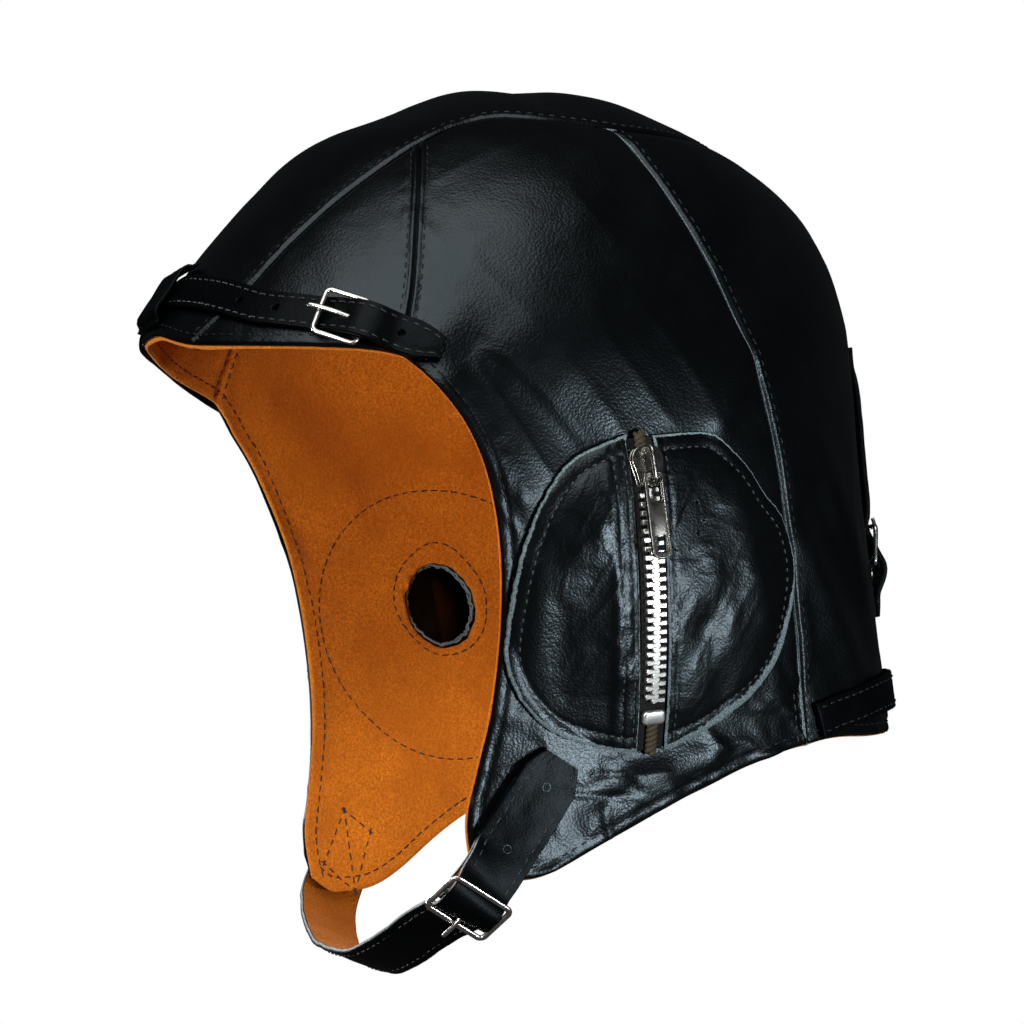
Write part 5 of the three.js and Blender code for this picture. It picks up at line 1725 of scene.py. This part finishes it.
def addZip(sideName, side):
    route = zipRoute(side)
    length = route.length
    addCordEnds(sideName, route)
    tapeWidth = patch["slot"] - 2 * zipParts["tapeClear"]
    spec = plainStrap | {"width": tapeWidth, "thick": zipParts["tape"], "corner": 0.1}
    spec |= {"wave": 0.03, "ragged": 0.05, "across": 7}
    high = shell["gap"] + zipParts["tape"] / 2
    stations = np.linspace(0, length, 13)
    tape = sweepStrap("tape", route, [(d, high) for d in stations], spec, [finishes["tape"]])[0]
    wide = spec | {"width": tapeWidth + 7, "thick": 0.5}
    under = sweepStrap("under", route, [(d, -0.1) for d in stations], wide, [finishes["tape"]])[0]
    tape = fused("zip_tape_weave_" + sideName, tape, under)
    settled(tape, "zip_tape", "zip_tape_" + sideName)
    first = length * zipParts["sliderAt"] + zipParts["slider"][0] / 2 + 2 * zipParts["rest"]
    last = length * zipParts["stopAt"] - zipParts["stop"] / 2 - 2 * zipParts["rest"]
    count = int((last - first - 1.2) / zipParts["pitch"])
    rows = []
    for way, shift, number in ((1, 0.6, count), (-1, 0.6 + zipParts["pitch"] / 2, count - 1)):
        distances = first + shift + np.linspace(0, number * zipParts["pitch"], 80)
        foot, _, out, _ = route.at(distances)
        rows.append(((foot + out * metalFloor)[::way], out[::way]))
    teeth = repeated("zip_chain_" + sideName, rows, toothPattern, zipParts["pitch"], finishes["zipMetal"])
    settled(teeth, "zip_metal", "zip_teeth_" + sideName)
    stopHalf = 3.3
    outline = roundedOutline(-zipParts["stop"] / 2 - 0.2, zipParts["stop"] / 2 + 0.2, stopHalf, 1.2)
    shape = plate(outline, metalFloor, metalFloor + zipParts["depth"] + 0.2, 0.6)
    putAt(shape, route.at(length * zipParts["stopAt"]))
    block = pieceOf(shape, "zip_stop_block_" + sideName, finishes["zipMetal"])
    settled(block, "zip_metal", "zip_stop_" + sideName)
    station = route.at(length * zipParts["sliderAt"])
    settled(addSlider(sideName, station), "zip_metal", "zip_slider_" + sideName)
    puller = addPuller(sideName, station)
    settled(puller, "zip_metal", "zip_puller_" + sideName, body=sideName + "_puller")


toothPattern = toothPiece()
addZip("left", 1)
addZip("right", -1)
bpy.data.objects.remove(toothPattern)
print("zips made")

# Buckled straps


def buckleHeights():
    layers = strapLayers
    holderLow = layers["rest"] + layers["holder"] / 2
    wrap = layers["wire"] + layers["gap"] + layers["holder"] / 2
    bar = holderLow + wrap
    over = bar + wrap + layers["holder"] / 2 + layers["gap"] + layers["thick"] / 2 + 0.15
    rest = layers["rest"] + layers["thick"] / 2 + 0.3
    nearBar = rest + layers["thick"] / 2 + layers["gap"] + layers["wire"] + 0.7
    tail = layers["rest"] + layers["holder"] + layers["gap"] + layers["thick"] / 2
    farBar = tail + layers["thick"] / 2 + layers["gap"] + layers["wire"] + 0.5
    return {
        "holderLow": holderLow, "wrap": wrap, "bar": bar, "over": over,
        "rest": rest, "nearBar": nearBar, "tail": tail, "farBar": farBar,
    }


heights = buckleHeights()


def besideStation(station, points):
    foot, along, out, across = station
    points = np.asarray(points, float)
    return foot + along * points[:, :1] + across * points[:, 1:2] + out * points[:, 2:]


def frameLoop(spec):
    near, far = -spec["nearReach"], spec["farReach"]
    half = spec["width"] / 2 + 0.5 + strapLayers["wire"]
    ends = (heights["nearBar"], heights["farBar"] if spec["centreBar"] else heights["bar"])
    corner = 1.6
    loop = []
    for x, y, start in (
        (far - corner, half - corner, 0), (near + corner, half - corner, 90),
        (near + corner, -half + corner, 180), (far - corner, -half + corner, 270),
    ):
        loop += arcPoints(x, y, corner, corner, start, start + 90, 9)
    loop = np.array(loop)
    filled = []
    for k in range(len(loop)):
        start, end = loop[k], loop[(k + 1) % len(loop)]
        count = max(1, int(np.linalg.norm(end - start) / 1.2))
        filled += [start + (end - start) * step / count for step in range(count)]
    loop = np.array(filled)
    share = (loop[:, 0] - near) / (far - near)
    return np.column_stack([loop, ends[0] + (ends[1] - ends[0]) * share]), half, ends


def addBuckle(name, station, spec):
    loop, half, ends = frameLoop(spec)
    _, along, out, _ = station
    flat = spec["flat"]
    thick = spec["wire"]
    path = besideStation(station, loop)
    frameWire = sweepWire("loop", path, thick, finishes["chrome"], True, 16, tuple(out), flat)
    pieces = [frameWire]
    if spec["centreBar"]:
        share = spec["nearReach"] / (spec["nearReach"] + spec["farReach"])
        middle = ends[0] + (ends[1] - ends[0]) * share
        high = heights["bar"]
        bar = [(0, -half, middle), (0, -half + 0.5, high + 0.3), (0, -half + 1.1, high), (0, 0, high)]
        bar += [(0, -y, z) for _, y, z in bar[-2::-1]]
        line = throughStations(besideStation(station, bar), 36, False)
        pieces.append(sweepWire("bar", line, 0.65, finishes["chrome"], False, 12, tuple(along)))
    frame = fused(name + "_buckle_loop", *pieces)
    settled(frame, "buckle_chrome", name + "_buckle_frame")
    reach = spec["nearReach"]
    tip = heights["nearBar"] + strapLayers["wire"] + strapLayers["gap"] + 0.55
    eye = strapLayers["wire"] + strapLayers["gap"] + 0.35
    turns = np.radians(np.linspace(-150, 130, 16))
    line = [(eye * math.cos(t), 0, heights["bar"] + eye * math.sin(t)) for t in turns]
    past = spec["prongPast"]
    line += [
        (-reach * 0.35, 0, heights["bar"] + (tip - heights["bar"]) * 0.62),
        (-reach * 0.7, 0, tip - 0.15),
        (-reach, 0, tip + 0.12),
        (-reach - past * 0.6, 0, tip),
        (-reach - past, 0, tip - 0.25),
    ]
    path = throughStations(besideStation(station, line), 64, False)
    prong = sweepWire(name + "_buckle_tongue", path, 0.68, finishes["chrome"], False, 12, tuple(out), 0.78)
    settled(prong, "buckle_chrome", name + "_buckle_prong")


def holderLine(at, spec):
    low, bar, wrap = heights["holderLow"], heights["bar"], heights["wrap"]
    length = spec["holderLength"]
    line = [(at + length, low), (at + length * 0.5, low), (at + 2.4, low)]
    for degrees in (-90, -135, -180, -225, -270):
        turn = math.radians(degrees)
        line.append((at + wrap * math.cos(turn), bar + wrap * math.sin(turn)))
    return line + [(at + 0.8, bar + wrap - 0.02)]


def holeDrill(station, high, radius):
    shape = bmesh.new()
    bmesh.ops.create_cone(shape, cap_ends=True, segments=16, radius1=radius, radius2=radius, depth=6)
    for vertex in shape.verts:
        vertex.co.z += high
    putAt(shape, station)
    return pieceOf(shape, "drill", finishes["strap"])


def drilled(strap, drills):
    for drill in drills:
        modifier = strap.modifiers.new("hole", "BOOLEAN")
        modifier.operation = "DIFFERENCE"
        modifier.solver = "EXACT"
        modifier.object = drill
    mesh = bpy.data.meshes.new_from_object(strap.evaluated_get(bpy.context.evaluated_depsgraph_get()))
    strap.modifiers.clear()
    old = strap.data
    strap.data = mesh
    mesh.name = strap.name
    bpy.data.meshes.remove(old)
    for drill in drills:
        bpy.data.objects.remove(drill)
    mesh.shade_smooth()


def addBuckledStrap(name, route, at, spec, lineOf):
    middle = lineOf(route.length, at)
    strap, heightAt = sweepStrap(name + "_strap_leather", route, middle, spec, spec["materials"])
    drills = [holeDrill(route.at(d), float(heightAt(d)), spec["hole"]) for d in spec["holes"]]
    drilled(strap, drills)
    settled(strap, "black_leather", name + "_strap")
    holderSpec = spec | {"thick": strapLayers["holder"], "corner": 0.25, "tip": None}
    holderSpec |= {"stitchInsets": (), "step": 0.5}
    line = holderLine(at, spec)
    holder = sweepStrap(name + "_holder_leather", route, line, holderSpec, spec["materials"])[0]
    settled(holder, "black_leather", name + "_holder_strap")
    addBuckle(name, route.at(at), spec)
    return heightAt


low = strapLayers["rest"] + strapLayers["thick"] / 2
browStrap = plainStrap | {
    "width": 10.5, "nearReach": 12.2, "prongPast": 3, "holderLength": 17,
    "tip": (8, 0.35, 0.5), "stitchInsets": (1.6,), "wave": 0.16, "seed": 3, "flat": 0.85,
    "materials": [finishes["strap"]],
}
chinStrap = plainStrap | {
    "width": 17, "corner": 0.35,
    "nearReach": 6.1, "farReach": 6.4, "centreBar": True, "prongPast": 4.5,
    "holderLength": 35, "tip": (8, 0.35, 0.5), "stitchInsets": (2.2,), "wave": 0.28, "seed": 5, "hole": 1.15,
    "flat": 0.7, "wire": 0.85, "across": 13, "materials": [finishes["strapEdge"], finishes["suede"]],
}
goggleStrap = plainStrap | {
    "width": 11, "nearReach": 11, "prongPast": 2.5, "holderLength": 14,
    "tip": (5, 0.35, 0.5), "stitchInsets": (1.6,), "wave": 0.2, "seed": 7,
    "materials": [finishes["strap"]],
}


def browMiddle(length, at):
    rest, over, tail = heights["rest"], heights["over"], heights["tail"]
    return [
        (0.6, low), (length * 0.12, low), (length * 0.3, low), (length * 0.5, low), (length * 0.66, low),
        (at - 16, low), (at - 12.2, rest), (at - 5, (rest + over) / 2 + 0.4), (at, over),
        (at + 4, over - 0.5),
        (at + 9, tail + 0.4), (at + 14, tail), (length - 4, tail), (length - 0.5, tail),
    ]


def chinMiddleLine(length, at):
    rest, over, tail = heights["rest"], heights["over"], heights["tail"]
    return [
        (0.6, low), (14, low), (30, low), (55, low), (80, low),
        (at - 22, low), (at - 11, low), (at - 5.5, rest),
        (at - 3, over - 1.5), (at - 1.2, over - 0.05), (at + 1.4, over + 0.1), (at + 3.2, over - 1),
        (at + 6.3, tail + 0.15), (at + 12, tail), (at + 25, tail), (length - 5, tail), (length - 0.5, tail),
    ]


def goggleMiddle(length, at):
    rest, over, tail = heights["rest"], heights["over"], heights["tail"]
    return [
        (0.5, low), (6, low), (14, low + 1.2), (at - 24, low + 1.8), (at - 15, low + 1.2), (at - 11, rest),
        (at - 4.5, (rest + over) / 2 + 0.4), (at, over), (at + 3.5, over - 0.6), (at + 8, tail + 0.3),
        (length - 3, tail), (length - 0.5, tail),
    ]


# Distance along a route that is nearest to a place on the shell
def distanceAlong(route, place):
    target = shellPoint(place)
    distances = np.arange(0, route.length, 0.25)
    return float(distances[np.argmin(((route.at(distances)[0] - target) ** 2).sum(1))])


browAt, chinAt, goggleAt = browRoute.length - 22.5, chinRoute.length - 47, goggleRoute.length - 15
browHoles = [(19.5, 0.2892), (27, 0.3018), (40, 0.3167), (49, 0.3342)]
browStrap["holes"] = [distanceAlong(browRoute, placeAtDrop(*spot)) for spot in browHoles]
chinStrap["holes"] = [chinAt + 17, chinAt + 37]
goggleStrap["holes"] = [goggleAt - 20, goggleAt + 6]
browHeight = addBuckledStrap("brow", browRoute, browAt, browStrap, browMiddle)
chinHeight = addBuckledStrap("chin", chinRoute, chinAt, chinStrap, chinMiddleLine)
goggleHeight = addBuckledStrap("goggle", goggleRoute, goggleAt, goggleStrap, goggleMiddle)

# Brow loop and nape strap
loopStrap = plainStrap | {
    "width": 22, "thick": 1.0, "corner": 0.25, "stitchInsets": (1.4,),
    "wave": 0.18, "seed": 9, "across": 15,
}
loopHigh = strapLayers["rest"] + strapLayers["thick"] + strapLayers["gap"] + 1
loopLow = strapLayers["rest"] + 0.5
loopEnd = loopRoute.length
loopLine = [
    (0.2, loopLow), (1.6, loopLow + 0.4), (3.4, loopHigh), (loopEnd / 2, loopHigh + 0.1),
    (loopEnd - 3.4, loopHigh),
    (loopEnd - 1.6, loopLow + 0.4), (loopEnd - 0.2, loopLow),
]
browLoop = sweepStrap("brow_loop_leather", loopRoute, loopLine, loopStrap, [finishes["strap"]])[0]
settled(browLoop, "black_leather", "brow_loop")
napeStrap = plainStrap | {"width": 10, "stitchInsets": (1.5,), "wave": 0.16, "seed": 11}
napeEnd = napeRoute.length
napeLine = [
    (0.5, low + 0.1), (napeEnd * 0.15, low + 0.3), (napeEnd * 0.32, low + 0.7), (napeEnd / 2, low + 0.9),
    (napeEnd * 0.68, low + 0.7), (napeEnd * 0.85, low + 0.3), (napeEnd - 0.5, low + 0.1),
]
napeHeight = sweepStrap("nape_strap_leather", napeRoute, napeLine, napeStrap, [finishes["strap"]])
settled(napeHeight[0], "black_leather", "nape_strap")
print("straps and buckles made")

# Stitching

stitching = {
    "seam": {"pitch": 3.1, "length": 2.1, "radius": 0.25},
    "patch": {"pitch": 2.6, "length": 1.5, "radius": 0.24},
    "lining": {"pitch": 3.0, "length": 2.4, "radius": 0.2},
    "strap": {"pitch": 3.2, "length": 2.3, "radius": 0.24},
}


# One stitch: a short round thread whose ends dip into the leather
def stitchPiece(name, look, finish):
    rings, sides = 7, 6
    share = np.linspace(-1, 1, rings)
    x = share * look["length"] / 2
    high = 0.4 * look["radius"] - 1.5 * look["radius"] * share**4
    thick = look["radius"] * np.sqrt(np.maximum(1 - share**6, 0.12))
    turns = np.linspace(0, 2 * np.pi, sides, endpoint=False)
    points = np.stack([
        np.repeat(x[:, None], sides, 1),
        thick[:, None] * np.cos(turns)[None],
        high[:, None] + thick[:, None] * np.sin(turns)[None],
    ], -1)
    piece = meshOf(name, points.reshape(-1, 3), tubeFaces(rings, sides), [finish])
    outward(piece)
    return piece


def rowSpots(table, inset, first, last, side):
    spots = throughPoints(spotsOf(table), np.linspace(first, last, 90))
    spots = offsetSpots(spots, inset) if inset else spots
    return asWorn(spots * [side, 1])


def leatherRow(table, inset, panel, first, last, side):
    return leatherAt(rowSpots(table, inset, first, last, side), panel)


def liningRow(table, inset, side):
    return liningAt(rowSpots(table, inset, 0, 1, side))


# The row's own line between two distances
def partOf(row, start, end):
    feet, outs = row
    reach = walkedTo(feet)
    distances = np.linspace(start, reach[-1] - end, 100)
    blend = [blended(distances, reach, v) for v in (feet, outs)]
    return blend[0], unit(blend[1])


def flatRow(points, side, height):
    line = np.asarray(points, float)
    foot, out = shellAt(placeOnSide(side, line[:, 0], line[:, 1]))
    return foot + out * height(line, foot)[:, None], out


def sew(name, rows, look, finish, slot, seed):
    pattern = stitchPiece("stitchPattern", look, finish)
    sewn = repeated(name, rows, pattern, look["pitch"], finish, 0.07, 0.1, seed)
    bpy.data.objects.remove(pattern)
    return settled(sewn, slot)


# Rows on the leather: line, inset, panel, shares of the line, and how much is left off at its ends
def leatherRows():
    inset, hem = leather["stitchInset"], leather["hemInset"]
    layout = [
        (bandSeam, inset, "band", 0, 1, 4, 1),
        (templeSeam, inset, "side", 0, 1, 3, 1.5),
        (templeSeam, -inset, "temple", 0, 1, 5, 1.5),
        (rearSeam, inset, "back", 0, 1, 2, 3),
        (browEdge, hem, "band", 0, 0.25, 0, 1),
        (browEdge, hem, "temple", 0.25, 1, 1, 1),
        (cheekEdge, hem, "side", 0, 1, 2, 2),
        (flapEdge, hem, "side", 0, 1, 2, 2),
        (napeEdge, hem, "back", 0, 1, 2, 0),
    ]
    return [
        partOf(leatherRow(table, away, panel, first, last, side), start, end)
        for side in (1, -1)
        for table, away, panel, first, last, start, end in layout
    ]


def tackRows():
    rows = []
    for side in (1, -1):
        for inset in (-1.6, -3.4, 1.2):
            panel = "back" if inset > 0 else "side"
            rows.append(partOf(leatherRow(rearSeam, inset, panel, 0.9, 1, side), 0, 2.5))
    return rows


def patchRows(side):
    def onPatch(line, foot, fromRim, fromSlot, front):
        lift = patchLift(foot[:, 1:])
        return shell["gap"] + patch["thick"] + lift + patchRelief(line, fromRim, fromSlot, front)

    rows = []
    for half, edge, way in (("front", -patch["slot"] / 2, -1), ("rear", patch["slot"] / 2, 1)):
        front = half == "front"
        net = patchNet(patch[half], edge, patchLook["rows"], patchLook["columns"])
        rim, slot = net[:, -1], net[:, 0]
        closed = np.vstack([slot[:1], rim, slot[-1:]])
        inner = insetLine(closed, patchLook["stitchInset"], patchSpots([(0, 0)])[0])
        line = inner[distanceTo(inner, slot) > 2]
        rows.append(flatRow(line, side, lambda spots, foot: onPatch(
            spots, foot, np.full(len(spots), patchLook["stitchInset"]), distanceTo(spots, slot), front)))
        insets = patchLook["beside"] if front else (2.6,)
        for inset in insets:
            share = np.linspace(0.03, 0.97, 90)
            line = zipSpots(share, np.full(90, edge + way * inset))
            line = line[distanceTo(line, rim) > 3.4]
            rows.append(flatRow(line, side, lambda spots, foot, inset=inset: onPatch(
                spots, foot, distanceTo(spots, rim), np.full(len(spots), inset), front)))
    return [(feet - outs * 0.02, outs) for feet, outs in rows]


# A line drawn in towards a middle point by a distance square to itself
def insetLine(line, inset, middle):
    way = unit(np.gradient(line, axis=0))
    square = np.stack([-way[:, 1], way[:, 0]], -1)
    square *= np.sign(((middle - line) * square).sum(1))[:, None]
    return line + square * inset


def strapRow(route, heightAt, spec, inset, start, end, way):
    distances = np.arange(start, end, 1.0)
    half = np.full(len(distances), spec["width"] / 2)
    if spec["tip"]:
        half *= tapered(route.length - distances, spec["tip"])
    foot, _, out, across = route.at(distances)
    high = heightAt(distances) + spec["thick"] / 2 - 0.14
    return foot + across * (way * (half - inset))[:, None] + out * high[:, None], out


def strapRows():
    rows = []
    layout = [
        (browRoute, browHeight, browStrap, 1.5, 3, browRoute.length - 3),
        (chinRoute, chinHeight, chinStrap, 2.2, 4, chinRoute.length - 3.4),
        (goggleRoute, goggleHeight, goggleStrap, 1.6, 3, goggleRoute.length - 3),
        (napeRoute, napeHeight[1], napeStrap, 1.5, 3, napeRoute.length - 3),
    ]
    for route, heightAt, spec, inset, start, end in layout:
        spans = [(start, end)]
        if spec is chinStrap:
            spans = [(start, chinAt - 8), (chinAt + 8, end)]
        for first, last in spans:
            rows += [strapRow(route, heightAt, spec, inset, first, last, way) for way in (1, -1)]
    sides = np.linspace(-9.4, 9.4, 20)[:, None]
    for distance in (1.7, loopEnd - 1.7):
        foot, _, out, across = loopRoute.at(distance)
        rows.append((foot + across * sides + out * (loopLow + 0.6), np.repeat(out[None], 20, 0)))
    return rows


# Rings in the lining round the ear hole and under the patch's stitching
def ringRow(side, middle, reachY, reachZ, wobble, seed):
    turns = np.radians(np.linspace(0, 360, 180))
    ring = np.stack([np.cos(turns), np.sin(turns), np.zeros(180)], -1)
    size = 1 + wobble * noiseAt(ring * 3, 2.2, seed)
    y = middle[0] + reachY * size * np.cos(turns)
    z = middle[1] + reachZ * size * np.sin(turns)
    return liningAt(placeOnSide(side, y, z))


def liningRows():
    layout = [
        (templeSeam, 2, 2, 2), (templeSeam, -2, 4, 2), (bandSeam, 2.2, 2, 0), (rearSeam, 2.2, 2, 2),
        (cheekEdge, 3.2, 1, 1), (browEdge, 3.2, 0, 1), (flapEdge, 3.6, 2, 2), (napeEdge, 3.6, 2, 0),
    ]
    rows = []
    for side in (1, -1):
        rows += [partOf(liningRow(table, away, side), start, end) for table, away, start, end in layout]
        rows.append(ringRow(side, (14.4, -134.9), 14.4, 16.1, 0.05, 61))
        rows.append(ringRow(side, patch["centre"], patch["half"][0] - 4, patch["half"][1] - 4, 0.02, 62))
    tacked = [(-21.5, -196.5), (-13.6, -202.4), (-19, -219.3), (-28.8, -211.5)]
    for first, last in ((0, 1), (1, 2), (2, 3), (3, 0), (0, 2)):
        y, z = np.linspace(tacked[first], tacked[last], 14).T
        rows.append(liningAt(placeOnSide(-1, y, z)))
    return rows


sew("stitches_crown", leatherRows(), stitching["seam"], finishes["blackThread"], "black_leather", 4)
tackStitches = stitching["strap"] | {"pitch": 2.6}
sew("stitches_rear_tacks", tackRows(), tackStitches, finishes["blackThread"], "black_leather", 8)
for sideName, side in (("left", 1), ("right", -1)):
    rows, name = patchRows(side), "stitches_patch_" + sideName
    sew(name, rows, stitching["patch"], finishes["greyThread"], "black_leather", 5)
sew("stitches_straps", strapRows(), stitching["strap"], finishes["blackThread"], "black_leather", 6)
sew("stitches_lining", liningRows(), stitching["lining"], finishes["liningThread"], "suede_lining", 7)
print("stitching made")


stage = {"floor": -0.42, "floorReach": 6, "floorSeen": 0.9, "sky": 0.02, "skyColor": (0.93, 0.96, 1, 1)}
# Each light: turn from the camera and tilt in degrees, distance and size in mm, watts and colour
lights = {
    "key": ((-14, 46, 1500), 1500, 15, (1, 0.98, 0.96)),
    "side": ((48, -16, 900), 150, 3.2, (0.92, 0.96, 1)),
    "back": ((228, 25, 1500), 800, 28, (0.95, 0.97, 1)),
    "within": ((-26, -14, 1500), 500, 40, (1, 0.97, 0.94)),
    "withinRight": ((-104, -14, 1500), 500, 30, (1, 0.97, 0.94)),
}
darkPieces = ("leather", "tape", "stitches_patch", "stitches_crown")
backPieces = ("right", "back", "goggle", "nape", "chin")


# The pieces that the lights from within and from behind reach
def litPieces():
    within = bpy.data.collections.new("lit_within")
    behind = bpy.data.collections.new("lit_behind")
    for piece in [piece for piece in bpy.context.scene.objects if piece.type == "MESH"]:
        if not any(word in piece.name for word in darkPieces):
            within.objects.link(piece)
        if any(word in piece.name for word in backPieces):
            behind.objects.link(piece)
    return {"within": within, "withinRight": within, "back": behind}


def addLights():
    reached = litPieces()
    for name, (place, size, watts, color) in lights.items():
        lamp = bpy.data.lights.new(name, "AREA")
        lamp.energy, lamp.size, lamp.color = watts, size * mm, color
        light = placed(name, lamp)
        faceTarget(light, photoView["azimuth"] + place[0], place[1], place[2])
        if name in reached:
            light.light_linking.receiver_collection = reached[name]


# Shows the camera one shader and the light another
def seenByCamera(tree, output, lit, seen):
    add = linker(tree)
    isCamera = add("LightPath").outputs["Is Camera Ray"]
    both = add("MixShader", {0: isCamera, 1: lit.outputs[0], 2: seen.outputs[0]})
    tree.links.new(both.outputs[0], tree.nodes[output].inputs["Surface"])


def addWorld():
    world = bpy.data.worlds.new("studio")
    bpy.context.scene.world = world
    world.use_nodes = True
    add = linker(world.node_tree)
    seen = add("Background", {"Color": (1, 1, 1, 1), "Strength": 1})
    lit = add("Background", {"Color": stage["skyColor"], "Strength": stage["sky"]})
    seenByCamera(world.node_tree, "World Output", lit, seen)


def addFloor():
    mesh = bpy.data.meshes.new("floor")
    reach = stage["floorReach"]
    corners = [(x * reach, y * reach, stage["floor"]) for x, y in ((-1, -1), (1, -1), (1, 1), (-1, 1))]
    mesh.from_pydata(corners, [], [(0, 1, 2, 3)])
    floor = placed("floor", mesh)
    material = bpy.data.materials.new("pale_floor")
    material.use_nodes = True
    tree = material.node_tree
    lit = feed(tree, tree.nodes["Principled BSDF"], {"Base Color": (0.1, 0.1, 0.1, 1), "Roughness": 0.9})
    seen = linker(tree)("Emission", {"Color": (1, 1, 1, 1), "Strength": stage["floorSeen"]})
    seenByCamera(tree, "Material Output", lit, seen)
    mesh.materials.append(material)


bpy.context.scene.view_settings.view_transform = "Standard"
addWorld()
addLights()
addFloor()
print("stage made")
